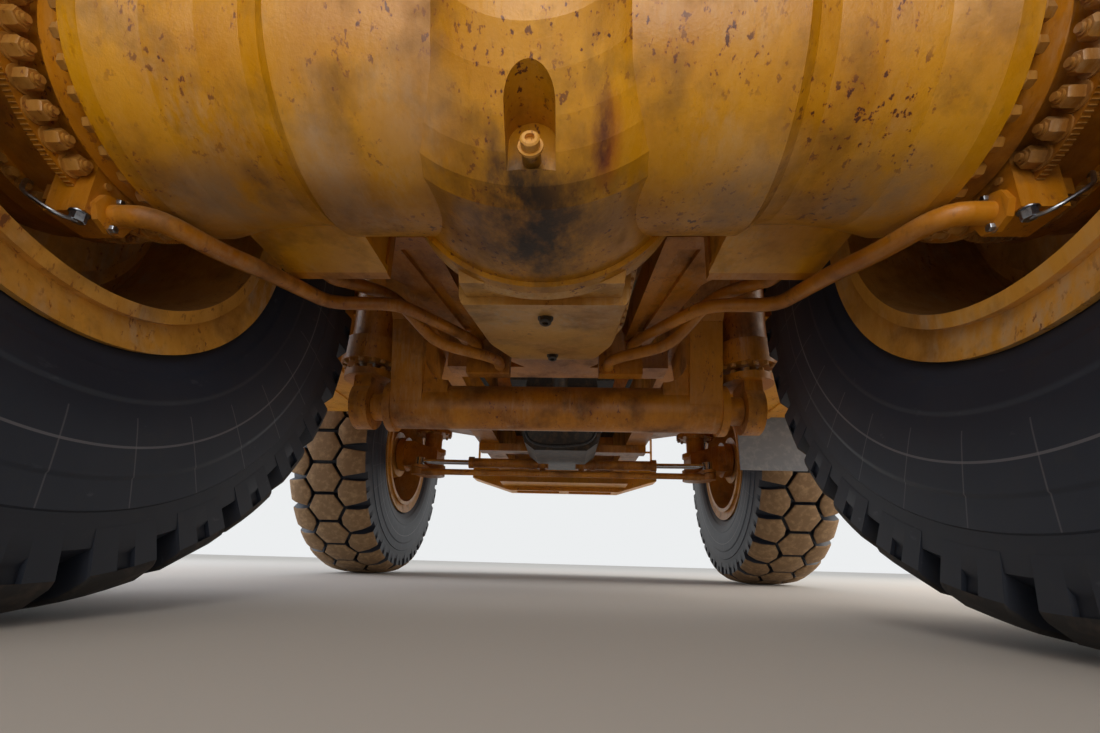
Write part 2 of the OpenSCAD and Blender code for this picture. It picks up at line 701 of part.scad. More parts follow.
module cab_seat() {
    middle = cab_in + 700;
    seat_z = deck_z + 400;
    dash_v = cab_front - 450;
    color(dark) {
        block([middle - 200, cab_back + 500, deck_z + cab_t], [middle + 200, cab_back + 950, seat_z]);
        block([middle - 250, cab_back + 450, seat_z], [middle + 250, cab_back + 1000, seat_z + 100]);
        block([middle - 250, cab_back + 380, seat_z + 100], [middle + 250, cab_back + 500, seat_z + 800]);
        block([middle - 400, dash_v, deck_z + cab_t], [middle + 500, dash_v + 250, deck_z + 750]);
        // Steering column and wheel
        at(middle, dash_v - 90, deck_z + 800) rotate([-25, 0, 0]) {
            translate([0, 0, -180]) cylinder(h = 190, r = 25);
            rotate_extrude($fn = 48) translate([205, 0]) circle(r = 16, $fn = 16);
            for (a = [0, 120, 240]) rotate([0, 0, a]) translate([0, -12, -8]) cube([200, 24, 16]);
        }
        bar([middle, dash_v + 20, deck_z + 600], [middle, dash_v - 30, deck_z + 640], 40);
    }
}

module cab_door() {
    color(paint) for (z = hinge_z) at(cab_out + 25, door_v[1] + 20, z) {
        difference() {
            cylinder(h = 120, r = 22);
            translate([0, 0, -1]) cylinder(h = 122, r = 10 + fit);
        }
        translate([-22, 8, 20]) cube([12, 20, 80]);
        translate([-25, 22, 20]) cube([15, 46, 80]);
    }
    color(paint) difference() {
        block([cab_out - cab_t, door_v[0], deck_z + cab_t + clear],
            [cab_out, door_v[1], cab_top - 130 - clear]);
        block([cab_out - cab_t - 10, door_v[0] + 90, window_z],
            [cab_out + 10, door_v[1] - 90, cab_top - 220]);
    }
}

module door_glass() {
    color("lightblue", 0.4)
        block([cab_out - 45, door_v[0] + 90, window_z], [cab_out - 25, door_v[1] - 90, cab_top - 220]);
}

// Side equipment, between the rear tyres and the front ones
tank_v = [tube_v - 125, tube_v + 1425];
tank_low = 1620;
tank_in = 1700;
function tank_outline(top) = [[tank_v[0], tank_low + 280], [tank_v[0] + 40, tank_low + 130],
    [tank_v[0] + 150, tank_low], [tank_v[1] - 100, tank_low], [tank_v[1], tank_low + 100],
    [tank_v[1], top - 60], [tank_v[1] - 60, top], [tank_v[0] + 60, top], [tank_v[0], top - 60]];

// A tank with two straps round it and brackets to the rail
module side_tank(out, top) {
    color(paint) {
        side_plate(tank_outline(top), tank_in, out);
        for (x = [tank_in + 250, out - 330]) intersection() {
            side_plate([for (p = tank_outline(top)) [p[0] + (p[0] > tube_v + 600 ? 14 : -14),
                p[1] + (p[1] > 2000 ? 14 : -14)]], x, x + 80);
            block([x, tank_v[0] - 14, tank_low - 14], [x + 80, tank_v[1], top + 14]);
        }
        at(out - 150, tank_v[0] + 300, top) cylinder(h = 60, r = 90);
    }
}

module fuel_tank() side_tank(3200, 2860);
module hydraulic_tank() mirror([1, 0, 0]) side_tank(3000, 2700);

// Two arms a side hold each tank on its frame rail
module tank_brackets() {
    color(paint) both() for (v = [tank_v[0] + 500, tank_v[1] - 350])
        block([rail_out, v - 60, 2150], [tank_in, v + 60, 2500]);
}

module air_cleaners() {
    color(dark) both() for (x = [2050, 2600]) at(x, nose_v - 750, 3200) {
        rotate([90, 0, 0]) cylinder(h = 620, r = 220);
        translate([0, -610, 0]) rotate([90, 0, 0]) cylinder(h = 70, r = 160);
        translate([-90, -600, 180]) cube([180, 400, deck_z - 60 - 3380]);
    }
}

module mud_flap() {
    color("gray") block([-2390, tank_v[1], 1120], [-1760, tank_v[1] + 25, 1900]);
}

// Knuckles and steering
ball_v = front_v - arm_back;
arm_z = 1405;

module knuckle() {
    color(paint) {
        at(kingpin_x, front_v, 0) {
            translate([0, 0, 1720]) cylinder(h = 1000, r = rod_r);
            translate([0, 0, 1715]) cylinder(h = 60, r = 190);
            translate([0, 0, 1400]) cylinder(h = 200, r = 150);
        }
        // Spindle carrier, with its flange towards the wheel
        front_plate([[kingpin_x - 125, 1560], [kingpin_x - 60, 1500], [2300, 1500], [2300, 1860],
            [kingpin_x + 230, 1860], [kingpin_x - 125, 1730]], front_v - 210, front_v + 210);
        at(0, front_v, axle_z) bar_x(250, 2290, 2390);
        at(0, front_v, axle_z) bar_x(spindle_r, kingpin_x + 100, front_wheel_x + 200);
        // Steering arm
        flat_plate([[kingpin_x - 80, ball_v], [kingpin_x + 80, ball_v], [kingpin_x + 190, front_v - 100],
            [kingpin_x - 160, front_v - 100]], arm_z - 20, arm_z + 20);
        at(kingpin_x, ball_v, 0) translate([0, 0, arm_z - 20]) cylinder(h = 40, r = 80);
        block([kingpin_x - 30, front_v - 430, arm_z + 10], [kingpin_x + 30, front_v - 120, arm_z + 75]);
        at(kingpin_x, front_v, arm_z - 20) cylinder(h = 150, r = 200);
        at(kingpin_x, ball_v, 1290) cylinder(h = 100, r = 30);
    }
}

module tie_rod() {
    reach = kingpin_x - 60;
    color(paint) {
        at(0, ball_v, 1335) bar_x(40, -reach, reach);
        both() at(0, ball_v, 1335) bar_x(49, reach - 260, reach - 60);
        both() at(kingpin_x, ball_v, 1295) difference() {
            cylinder(h = 80, r = 75);
            translate([0, 0, -1]) cylinder(h = 82, r = 30 + fit);
        }
    }
}

// Steering cylinders, from a pin on the centreline bracket to the arm
steer_z = 1490;
bracket_top = 1650;
steer_pin = [260, ball_v + 150, steer_z];
steer_eye = [kingpin_x, ball_v + 90, steer_z];
steer_dir = (steer_eye - steer_pin) / norm(steer_eye - steer_pin);

module steer_barrel() {
    mouth = 1000;
    color(paint) difference() {
        union() {
            bar(steer_pin, steer_pin + mouth * steer_dir, 64);
            bar(steer_pin + (mouth - 70) * steer_dir, steer_pin + mouth * steer_dir, 80);
            bar(steer_pin + 130 * steer_dir, steer_pin + 190 * steer_dir, 76);
            translate(place(steer_pin)) translate([0, 0, -64]) cylinder(h = 128, r = 78);
        }
        bar(steer_pin + 150 * steer_dir, steer_pin + (mouth + 10) * steer_dir, 34 + fit);
        translate(place(steer_pin)) translate([0, 0, -70]) cylinder(h = 140, r = 40 + fit);
    }
}

module steer_rod() {
    color("silver") bar(steer_pin + 560 * steer_dir, steer_eye, 34);
    color(paint) translate(place([steer_eye[0], steer_eye[1], arm_z + 20 + fit])) cylinder(h = 115, r = 62);
}

// Hoists
hoist_x = 1345;
hoist_pin_r = 60;
hoist_head_z = under(tube_v) - 160;
hoist_len = hoist_head_z - tube_z;
ram_r = 72;
stage_r = 90;
barrel_r = 160;
gland_z = 300;

// Places a piece that is drawn upright from the hoist's lower pin
module hoist(side) sided(side) at(hoist_x, tube_v, tube_z) children();

// The barrel hangs from the bed, open at its lower end, where the ram comes out
module hoist_barrel() {
    color(paint) difference() {
        union() {
            bar_x(110, -55, 55);
            translate([-55, -90, 0]) translate([0, 0, -160]) cube([110, 180, 160]);
            translate([0, 0, gland_z - hoist_len]) cylinder(h = 170, r = barrel_r + 50);
            translate([0, 0, gland_z - hoist_len]) cylinder(h = hoist_len - gland_z - 150, r = barrel_r);
        }
        translate([0, 0, gland_z - hoist_len - 1]) cylinder(h = hoist_len - gland_z - 200, r = stage_r + fit);
    }
}

module hoist_stage() {
    color("silver") difference() {
        translate([0, 0, gland_z - 30]) cylinder(h = hoist_len - gland_z - 200, r = stage_r);
        translate([0, 0, gland_z - 31]) cylinder(h = hoist_len - gland_z - 220, r = ram_r + fit);
    }
}

module hoist_ram() {
    color(paint) difference() {
        union() {
            bar_x(165, -60, 60);
            translate([-60, -120, 0]) cube([120, 240, 200]);
            translate([0, 0, 190]) cylinder(h = 50, r = 177);
        }
        bar_x(hoist_pin_r + fit, -80, 80);
    }
    color("silver") translate([0, 0, 230]) cylinder(h = hoist_len - 490, r = ram_r);
}

// Bed
module bed_floor() {
    depth = 120;
    color(paint) {
        side_plate([floor_front, floor_knee, floor_tail, floor_tail + [0, floor_t], floor_knee + [0, floor_t],
            [wall_v(floor_front[1] + floor_t) - seat, floor_front[1] + floor_t]], -inner_w, inner_w);
        // Cross ribs under the floor, clear of the tyres
        both() for (v = [2750, -1950, -2650, -3350])
            side_plate([[v, under(v) + 10], [v + 140, under(v + 140) + 10], [v + 115, under(v + 115) - depth],
                [v + 25, under(v + 25) - depth]], rail_out + 300, inner_w);
    }
}

// Two box beams that rest on the rails, with the lugs of the rear pivot and the ears of the hoists
module bed_beams() {
    lug_x = rail_out + clear;
    lug_t = 130;
    tail_v = -2300;
    color(paint) both() {
        side_plate([[floor_front[0] - 40, under(floor_front[0] - 40) - seat], [0, under(0) - seat],
            [tail_v, under(tail_v) - seat], [tail_v, under(tail_v) - 220], [pivot_v - 300, beam_low],
            [floor_front[0] - 40, beam_low]], rail_in + 30, rail_out - 30);
        for (v = [-600, 800, 2300, 3300])
            block([rail_in + 40, v, rail_top + seat], [rail_out - 40, v + 300, beam_low + 10]);
        // Pivot lugs outboard of the rails
        difference() {
            union() {
                side_plate([[pivot_v - 260, under(pivot_v - 260) - seat], [pivot_v - 140, pivot_z],
                    [pivot_v + 140, pivot_z], [pivot_v + 400, under(pivot_v + 400) - seat]],
                    lug_x, lug_x + lug_t);
                at(0, pivot_v, pivot_z) bar_x(160, lug_x, lug_x + lug_t);
            }
            at(0, pivot_v, pivot_z) bar_x(90 + fit, rail_out, lug_x + lug_t + 10);
        }
        for (x = [hoist_x - 85, hoist_x + 60])
            side_plate([[tube_v - 220, under(tube_v - 220) - seat], [tube_v - 90, hoist_head_z - 90],
                [tube_v + 90, hoist_head_z - 90], [tube_v + 220, under(tube_v + 220) - seat]], x, x + 25);
    }
}

tail_low = 4850;
module bed_sides() {
    face = bed_half_w - rib_t;
    color(paint) both() {
        side_plate([floor_front, [floor_front[0] + wall_t, floor_front[1]],
            [wall_v(side_top) + wall_t, side_top], [-1900, side_top], [floor_tail[0], tail_low], floor_tail,
            floor_knee], face - wall_t, face);
        // Top rail and upright ribs
        side_plate([[wall_v(side_top) + wall_t, side_top], [-1900, side_top], [floor_tail[0], tail_low],
            [floor_tail[0], tail_low - 170], [-1900, side_top - 170], [wall_v(side_top - 170) + wall_t,
            side_top - 170]], face - 10, bed_half_w);
        for (v = [3300, 2450, 1600, 750, -100, -950, -1800, -2650, -3500])
            side_plate([[v, under(v) + 5], [v + 170, under(v + 170) + 5], [v + 170, side_top - 170],
                [v, v < -1900 ? tail_low : side_top - 170]], face - 10, bed_half_w - 20);
        side_plate([floor_front, [floor_front[0] - 40, floor_front[1] + 170], [0, under(0) + 170],
            [floor_tail[0], floor_tail[1] + 170], floor_tail, floor_knee], face - 10, bed_half_w - 10);
    }
}

module bed_front() {
    color(paint) {
        side_plate([floor_front, [floor_front[0] + wall_t, floor_front[1]],
            [bed_nose[0] + wall_t, canopy_under(bed_nose[0] + wall_t)], bed_nose], -inner_w, inner_w);
        for (z = [3100, 3700, 4300, 4900, 5450])
            side_plate([[wall_v(z) + wall_t - 5, z], [wall_v(z) + wall_t + 100, z + 25],
                [wall_v(z) + wall_t + 100, z + 145], [wall_v(z) + wall_t - 5, z + 170]], -inner_w, inner_w);
    }
}

module bed_canopy() {
    lip = nose_v - 150;
    color(paint) {
        side_plate([bed_nose, [lip, canopy_z], [lip, canopy_z + 80], [bed_nose[0], bed_nose[1] + 120]],
            -bed_half_w, bed_half_w);
        for (x = [-2600, -1300, 0, 1300, 2600])
            side_plate([[bed_nose[0] + 40, bed_nose[1] + 115], [lip - 60, canopy_z + 75],
                [lip - 140, canopy_z + 170], [bed_nose[0] + 100, bed_nose[1] + 230]], x - 60, x + 60);
        block([-bed_half_w, lip - 90, canopy_z - 60], [bed_half_w, lip, canopy_z + 5]);
    }
}

frame_rails();
frame_cross_tube();
front_frame();
rear_frame();
front_bumper();
engine();
radiator();
headlamps();
steering_bracket();
deck();
handrails();
ladders();
cab_shell();
cab_glass();
cab_seat();
fuel_tank();
hydraulic_tank();
tank_brackets();
air_cleaners();
front_struts();
axle_housing();
brake_housings();
transmission();
axle_frame();
rear_struts();
drive_shaft();
brake_tubes();
mud_flap();
bed_floor();
bed_beams();
bed_sides();
bed_front();
bed_canopy();
tyre_front_left();
rim_front(1);  // rim_front_left
tyre_front_right();
rim_front(-1);  // rim_front_right
tyres_rear(1);  // tyres_rear_left
rims_rear(1);  // rims_rear_left
tyres_rear(-1);  // tyres_rear_right
rims_rear(-1);  // rims_rear_right
knuckle();  // knuckle_left
sided(-1) knuckle();  // knuckle_right
tie_rod();
steer_barrel();  // steer_barrel_left
sided(-1) steer_barrel();  // steer_barrel_right
steer_rod();  // steer_rod_left
sided(-1) steer_rod();  // steer_rod_right
hoist(1) translate([0, 0, hoist_len]) hoist_barrel();  // hoist_barrel_left
hoist(-1) translate([0, 0, hoist_len]) hoist_barrel();  // hoist_barrel_right
hoist(1) hoist_stage();  // hoist_stage_left
hoist(-1) hoist_stage();  // hoist_stage_right
hoist(1) hoist_ram();  // hoist_ram_left
hoist(-1) hoist_ram();  // hoist_ram_right
cab_door();
door_glass();
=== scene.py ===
# %% [markdown]
# # A mining dump truck, seen from the ground behind its rear axle
# The solids come from the CAD model. This file gives them their finishes and adds what is too
# small for solids: tyre lugs and mouldings, nuts, bolts, bent tubes, hoses and fittings.
# Axes: +Z up, the truck's front towards -Y, its left side towards +X. Sizes are in metres.

# %% The frame of CAD solids
import math

import bmesh
import bpy
import numpy as np
from mathutils import Matrix, Vector


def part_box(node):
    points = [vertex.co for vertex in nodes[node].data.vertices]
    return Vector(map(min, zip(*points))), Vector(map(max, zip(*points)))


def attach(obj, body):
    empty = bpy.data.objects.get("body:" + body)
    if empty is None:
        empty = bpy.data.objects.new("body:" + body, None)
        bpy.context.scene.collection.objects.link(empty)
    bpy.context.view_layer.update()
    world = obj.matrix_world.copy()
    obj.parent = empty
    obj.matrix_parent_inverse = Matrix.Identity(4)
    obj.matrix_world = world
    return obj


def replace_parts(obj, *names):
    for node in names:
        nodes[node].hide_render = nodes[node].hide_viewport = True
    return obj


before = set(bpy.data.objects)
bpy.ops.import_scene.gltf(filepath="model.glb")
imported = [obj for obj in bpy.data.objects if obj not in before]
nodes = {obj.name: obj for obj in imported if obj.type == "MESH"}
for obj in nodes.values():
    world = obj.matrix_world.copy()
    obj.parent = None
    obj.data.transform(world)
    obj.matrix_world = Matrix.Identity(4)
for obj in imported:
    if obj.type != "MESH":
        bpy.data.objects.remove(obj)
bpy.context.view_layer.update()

# %% [markdown]
# ## Where the truck's own stations are
# Most pieces here are placed by the same three numbers as in the CAD source: x from the middle,
# v ahead of the rear axle and z above the ground. The axle line's place along Y is read off the
# rims and the tyre's radius off the tyres, so that the two files can't drift apart.

# %% Stations and sizes
rim_low, rim_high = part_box("rims_rear_left")
REAR_Y = (rim_low.y + rim_high.y) / 2
AXLE_Z = (rim_low.z + rim_high.z) / 2
front_low, front_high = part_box("tyre_front_left")
FRONT_V = REAR_Y - (front_low.y + front_high.y) / 2
FRONT_X = (front_low.x + front_high.x) / 2
TYRE_R = front_high.z - AXLE_Z
TYRE_HALF = (front_high.x - front_low.x) / 2
DUAL_X, DUAL_PITCH = 1.80, 1.16
LEFT, RIGHT = 1, -1
print(f"rear axle y {REAR_Y:.3f} z {AXLE_Z:.3f}, wheelbase {FRONT_V:.3f}, tyre radius {TYRE_R:.3f}")


def at(x, v, z):
    """The point x from the middle, v ahead of the rear axle and z above the ground."""
    return np.array([x, REAR_Y - v, z], float)


# %% [markdown]
# ## The camera
# The photograph was taken with a wide lens held low behind the axle and tilted up. A pinhole
# camera was fitted to points that are mirrored about the truck's middle, and these are its
# numbers: the focal length in pixels, the place, and the three angles.

# %% Camera
WIDTH_PX, HEIGHT_PX = 1100, 733
FOCAL_PX = 485.5
CENTRE_PX = 430.0           # row of the optical axis, counted from the top
YAW, PITCH, ROLL = -0.0451, 0.2658, 0.0276
EYE = at(-0.1182, -1.278, 0.2105)

scene = bpy.context.scene
cam_data = bpy.data.cameras.new("camera")
cam = bpy.data.objects.new("camera", cam_data)
scene.collection.objects.link(cam)
cam_data.sensor_width = 36.0
cam_data.lens = 36.0 * FOCAL_PX / WIDTH_PX
cam_data.shift_y = (CENTRE_PX - HEIGHT_PX / 2) / WIDTH_PX
ahead = np.array([math.sin(YAW), math.cos(YAW), 0.0])
across = np.array([math.cos(YAW), -math.sin(YAW), 0.0])
up = np.array([0.0, 0.0, 1.0])
look = math.cos(PITCH) * ahead + math.sin(PITCH) * up
rise = -math.sin(PITCH) * ahead + math.cos(PITCH) * up
right = math.cos(ROLL) * across + math.sin(ROLL) * rise
top = -math.sin(ROLL) * across + math.cos(ROLL) * rise


def turned_round(d):
    """A direction given as right, ahead and up, in the frame where ahead is -Y and right is -X."""
    return Vector((-d[0], -d[1], d[2]))


basis = Matrix((turned_round(right), turned_round(top), turned_round(-look))).transposed().to_4x4()
cam.matrix_world = Matrix.Translation(EYE) @ basis
scene.camera = cam
cam_data.clip_start, cam_data.clip_end = 0.02, 400
print("camera stands", round(EYE[2], 3), "m above the ground")

# %% [markdown]
# ## Floor, sky and lamps
# A pale floor throws light up under the truck, which is how an underside is lit outdoors. The
# world is a plain soft sky. The camera, gloss and glass see it as an even pale wall, while the
# light that it casts keeps a plain level.

# %% Colours and nodes


def linear(code):
    """A hex sRGB colour as linear RGBA: each channel is a straight line near black, a power above."""
    c = np.array([int(code[i:i + 2], 16) for i in (1, 3, 5)]) / 255
    c = np.where(c <= 0.04045, c / 12.92, ((c + 0.055) / 1.055) ** 2.4)
    return (*c.tolist(), 1.0)


def add(tree, kind, links=None, values=None, **settings):
    """Adds one node: its own settings, constants by socket and links by socket."""
    node = tree.nodes.new(kind)
    for name, value in settings.items():
        setattr(node, name, value)
    for socket, value in (values or {}).items():
        node.inputs[socket].default_value = value
    for socket, source in (links or {}).items():
        tree.links.new(source, node.inputs[socket])
    return node


def new_material(name):
    """An empty node material: its tree and its principled shader."""
    mat = bpy.data.materials.new(name)
    mat.use_nodes = True
    mat.node_tree.nodes.clear()
    shader = add(mat.node_tree, "ShaderNodeBsdfPrincipled")
    add(mat.node_tree, "ShaderNodeOutputMaterial", {0: shader.outputs[0]})
    return mat, mat.node_tree, shader


def backdrop_mix(tree, lit, shown):
    """Uses shown where the camera, gloss or glass looks straight at a surface, and lit elsewhere."""
    ray = add(tree, "ShaderNodeLightPath").outputs
    seen = add(tree, "ShaderNodeMath", {0: ray["Is Camera Ray"], 1: ray["Is Glossy Ray"]},
               operation="MAXIMUM")
    seen = add(tree, "ShaderNodeMath", {0: seen.outputs[0], 1: ray["Is Transmission Ray"]},
               operation="MAXIMUM")
    return add(tree, "ShaderNodeMixShader", {0: seen.outputs[0], 1: lit, 2: shown}).outputs[0]


# %% World
world = bpy.data.worlds.new("sky")
scene.world = world
world.use_nodes = True
tree = world.node_tree
tree.nodes.clear()
lit = add(tree, "ShaderNodeBackground", values={"Color": linear("#f2f4f8"), "Strength": 0.85})
shown = add(tree, "ShaderNodeBackground", values={"Color": linear("#eceeef"), "Strength": 1.0})
add(tree, "ShaderNodeOutputWorld", {0: backdrop_mix(tree, lit.outputs[0], shown.outputs[0])})
print("the sky lights the truck at strength", round(lit.inputs["Strength"].default_value, 2))

# %% Floor
REACH = 60.0
floor_mesh = bpy.data.meshes.new("floor")
floor_mesh.from_pydata([(-REACH, -REACH, 0), (REACH, -REACH, 0), (REACH, REACH, 0), (-REACH, REACH, 0)], [],
                       [(0, 1, 2, 3)])
floor = bpy.data.objects.new("floor", floor_mesh)
scene.collection.objects.link(floor)
concrete, _, shader = new_material("pale concrete")
shader.inputs["Base Color"].default_value = linear("#cdcac4")
shader.inputs["Roughness"].default_value = 0.9
floor_mesh.materials.append(concrete)
print("the floor reaches", REACH, "m each way")

# %% Lamps


def lamp(name, place, aim, size, watts, tint="#ffffff"):
    """A square area lamp at a place, turned to face a point."""
    data = bpy.data.lights.new(name, "AREA")
    data.size, data.energy, data.color = size, watts, linear(tint)[:3]
    thing = bpy.data.objects.new(name, data)
    scene.collection.objects.link(thing)
    thing.location = place
    thing.rotation_euler = (Vector(aim) - Vector(place)).to_track_quat("-Z", "Y").to_euler()
    return thing


lamp("right side sky", at(-17, 1.0, 6.6), at(0, 1.0, 1.6), 12, 2700, "#fff6ea")
lamp("left side sky", at(17, 2.0, 6.6), at(0, 1.0, 1.6), 12, 1800, "#eef3ff")
lamp("open yard behind", at(0.5, -16, 6.4), at(0, 0, 1.6), 12, 1700, "#fff9f0")

# %% [markdown]
# ## Finishes
# Ochre enamel over cast and plate steel, years old. Each finish is a base colour with others laid
# over it, every one through a mask, as the real surface came about: two tones of repainting,
# oily dirt in clouds, pale brushed scuffs where stones passed, rust where the paint broke. Each
# pattern's scale is a real size in millimetres.

# %% Masks and layers


def patches(tree, coords, size_mm, start, full, stretch=(1, 1, 1), detail=5.0, rough=0.62):
    """A mask of blobs about size_mm across: (noise - start) / (full - start), held between 0 and 1.
    A stretch below 1 draws them out along that axis."""
    spread = add(tree, "ShaderNodeMapping", {"Vector": coords}, {"Scale": stretch})
    blobs = add(tree, "ShaderNodeTexNoise", {"Vector": spread.outputs[0]},
                {"Scale": 1000 / size_mm, "Detail": detail, "Roughness": rough})
    return add(tree, "ShaderNodeMapRange", {"Value": blobs.outputs[0]},
               {"From Min": start, "From Max": full}).outputs[0]


def near(tree, coords, centre, reach):
    """A soft ball: 1 inside and 0 at the skin of the ellipsoid |(p - centre) / reach| = 1."""
    reach = np.array(reach, float)
    unit = add(tree, "ShaderNodeMapping", {"Vector": coords},
               {"Location": tuple(-centre / reach), "Scale": tuple(1 / reach)})
    away = add(tree, "ShaderNodeVectorMath", {0: unit.outputs[0]}, operation="LENGTH").outputs["Value"]
    return add(tree, "ShaderNodeMapRange", {"Value": away}, {"From Min": 1.0, "From Max": 0.3}).outputs[0]


def layered(tree, base, layers):
    """Colours laid over a base one after another: tone (1 - m s) + colour m s, for mask m, strength s."""
    tone = None
    for mask, strength, colour in layers:
        share = add(tree, "ShaderNodeMath", {0: mask}, {1: strength}, operation="MULTIPLY")
        mixed = add(tree, "ShaderNodeMix", {0: share.outputs[0]}, {6: linear(base), 7: linear(colour)},
                    data_type="RGBA")
        if tone is not None:
            tree.links.new(tone, mixed.inputs[6])
        tone = mixed.outputs[2]
    return tone


# %% [markdown]
# ### Worn enamel
# Ochre machine enamel, sprayed on and weathered. One flat colour would look like a toy, and a
# photograph wrapped round the casting would slide on its curves. So the finish is built in the
# order in which the real one aged, in the object's own coordinates: a second coat's tone, brushed
# scuffs, grime, chips with a rusty halo and a dark heart, and dust on whatever faces up. The
# housing also has its own marks, each a soft ball in a known place with a ragged edge: oil, rust,
# pale and grey patches, and a darker brown towards its bottom.

# %% Enamel


def overlap(tree, first, second):
    """A mask that is 1 only where both masks are: their product."""
    return add(tree, "ShaderNodeMath", {0: first, 1: second}, operation="MULTIPLY").outputs[0]


def enamel(name, base, deep, grime, scuff, rust, dust, placed_marks=(), gloss=0.4):
    """Worn enamel: the base, then each layer through its mask. grime, scuff, rust and dust are
    strengths, and a placed mark is (centre, reach, strength, colour)."""
    mat, tree, shader = new_material(name)
    here = add(tree, "ShaderNodeTexCoord").outputs["Object"]
    facing = add(tree, "ShaderNodeNewGeometry").outputs["Normal"]
    upward = add(tree, "ShaderNodeSeparateXYZ", {0: facing}).outputs[2]
    settled = add(tree, "ShaderNodeMapRange", {"Value": upward}, {"From Min": 0.3, "From Max": 0.95})
    cloud = patches(tree, here, 230, 0.50, 0.72, detail=7.0)
    rubbed = patches(tree, here, 300, 0.50, 0.66, (1, 1, 0.8), 6.0, 0.6)
    brushed = patches(tree, here, 26, 0.42, 0.70, (1, 0.5, 0.09), 6.0, 0.7)
    chipped = patches(tree, here, 380, 0.47, 0.62, detail=3.0)
    layers = [
        (patches(tree, here, 480, 0.36, 0.62), 0.85, deep),
        (brushed, 0.30 * scuff, "#e6b468"),
        (overlap(tree, rubbed, brushed), 0.85 * scuff, "#b4a18c"),
        (cloud, grime, "#3a2009"),
        (patches(tree, here, 16, 0.60, 0.78, (1, 0.6, 0.12)), 0.5 * grime, "#2a1809"),
        (overlap(tree, chipped, patches(tree, here, 22, 0.57, 0.64, (1, 1, 0.5), 3.0)), 0.8 * rust,
         "#a24d10"),
        (overlap(tree, chipped, patches(tree, here, 22, 0.61, 0.65, (1, 1, 0.5), 3.0)), rust, "#33191a"),
        (settled.outputs[0], dust, "#a58a66"),
    ]
    for centre, reach, strength, colour in placed_marks:
        ragged = patches(tree, here, 110, 0.30, 0.58, (1, 0.7, 0.3), 8.0, 0.66)
        layers.append((overlap(tree, near(tree, here, centre, reach), ragged), strength, colour))
    tree.links.new(layered(tree, base, layers), shader.inputs["Base Color"])
    rough = add(tree, "ShaderNodeMapRange", {"Value": cloud}, {"To Min": gloss, "To Max": gloss + 0.3})
    tree.links.new(rough.outputs[0], shader.inputs["Roughness"])
    grain = patches(tree, here, 9, 0.0, 1.0, detail=3.0)
    bump = add(tree, "ShaderNodeBump", {"Height": grain}, {"Strength": 0.25, "Distance": 0.003})
    tree.links.new(bump.outputs[0], shader.inputs["Normal"])
    return mat


# The last colour here, a dark brown, makes the housing darker towards its bottom.
OIL, RUST_RED, HALO, PALE, BOTTOM_DARKENING = "#1a0e06", "#32161a", "#a04c0c", "#c4ab92", "#4a2a10"
housing_marks = [
    # darker brown towards the bottom, under the bowl
    (at(0.02, -0.02, 1.20), (0.46, 0.42, 0.20), 0.80, BOTTOM_DARKENING),
    (at(0.00, 0.02, 1.15), (0.26, 0.34, 0.16), 0.90, OIL),
    (at(0.03, -0.14, 1.22), (0.12, 0.14, 0.13), 0.90, OIL),
    (at(-0.18, -0.42, 1.58), (0.05, 0.12, 0.08), 0.95, RUST_RED),
    (at(-0.17, -0.33, 1.46), (0.05, 0.12, 0.15), 0.90, RUST_RED),
    (at(-0.20, -0.24, 1.29), (0.05, 0.14, 0.15), 0.95, HALO),
    (at(-0.19, -0.24, 1.30), (0.035, 0.12, 0.13), 0.95, RUST_RED),
    (at(0.10, -0.20, 1.28), (0.03, 0.12, 0.14), 0.75, RUST_RED),
    (at(0.32, -0.20, 1.42), (0.20, 0.25, 0.20), 0.30, PALE),
    (at(-0.62, -0.05, 1.30), (0.22, 0.25, 0.16), 0.35, PALE),
    (at(0.60, -0.15, 1.38), (0.12, 0.25, 0.22), 0.50, PALE),
    # darker brown towards the bottom, under each arm
    (at(0.60, 0.02, 1.22), (0.40, 0.30, 0.10), 0.65, BOTTOM_DARKENING),
    (at(-0.60, 0.02, 1.22), (0.40, 0.30, 0.10), 0.65, BOTTOM_DARKENING),
    (at(0.98, 0.00, 1.30), (0.24, 0.22, 0.12), 0.55, "#85786c"),
    (at(-1.02, 0.00, 1.30), (0.24, 0.22, 0.12), 0.55, "#85786c"),
    (at(0.86, -0.05, 1.27), (0.05, 0.16, 0.10), 0.90, "#451f0b"),
]
cast_enamel = enamel("ochre enamel on castings", "#d89608", "#b47404", 0.55, 0.4, 0.8, 0.3,
                     housing_marks, 0.34)
under_enamel = enamel("ochre enamel, oily underside", "#c87e08", "#8c4e02", 0.80, 0.4, 0.7, 0.30)
body_enamel = enamel("ochre enamel on plate", "#dd9820", "#cc8318", 0.30, 0.4, 0.5, 0.45)
pan_enamel = enamel("ochre enamel, sun-pale", "#cf9a48", "#b0782c", 0.55, 0.9, 0.5, 0.5)
rim_enamel = enamel("ochre enamel on rims", "#d6983a", "#b07628", 0.55, 1.0, 0.6, 0.5)
bolt_enamel = enamel("ochre enamel on bolts", "#bf8434", "#8a5418", 0.75, 0.8, 0.5, 0.3)
print("enamels:", [m.name for m in bpy.data.materials if "enamel" in m.name])

# %% [markdown]
# ### Even finishes
# Chromed rod, zinc-plated fittings, oily iron, vinyl, hose and flap rubber are even enough to be
# one colour each, with specks of a second where dirt shows. Metals are metallic and smooth, and
# the tinted glass lets most light through.

# %% Plain finishes


def plain(name, colour, rough=0.5, metal=0.0, speck=None, speck_mm=70):
    """One even finish, with specks of a second colour if given."""
    mat, tree, shader = new_material(name)
    shader.inputs["Roughness"].default_value = rough
    shader.inputs["Metallic"].default_value = metal
    shader.inputs["Base Color"].default_value = linear(colour)
    if speck is not None:
        here = add(tree, "ShaderNodeTexCoord").outputs["Object"]
        spots = patches(tree, here, speck_mm, 0.48, 0.68, detail=6.0)
        tree.links.new(layered(tree, colour, [(spots, 1.0, speck)]), shader.inputs["Base Color"])
    return mat


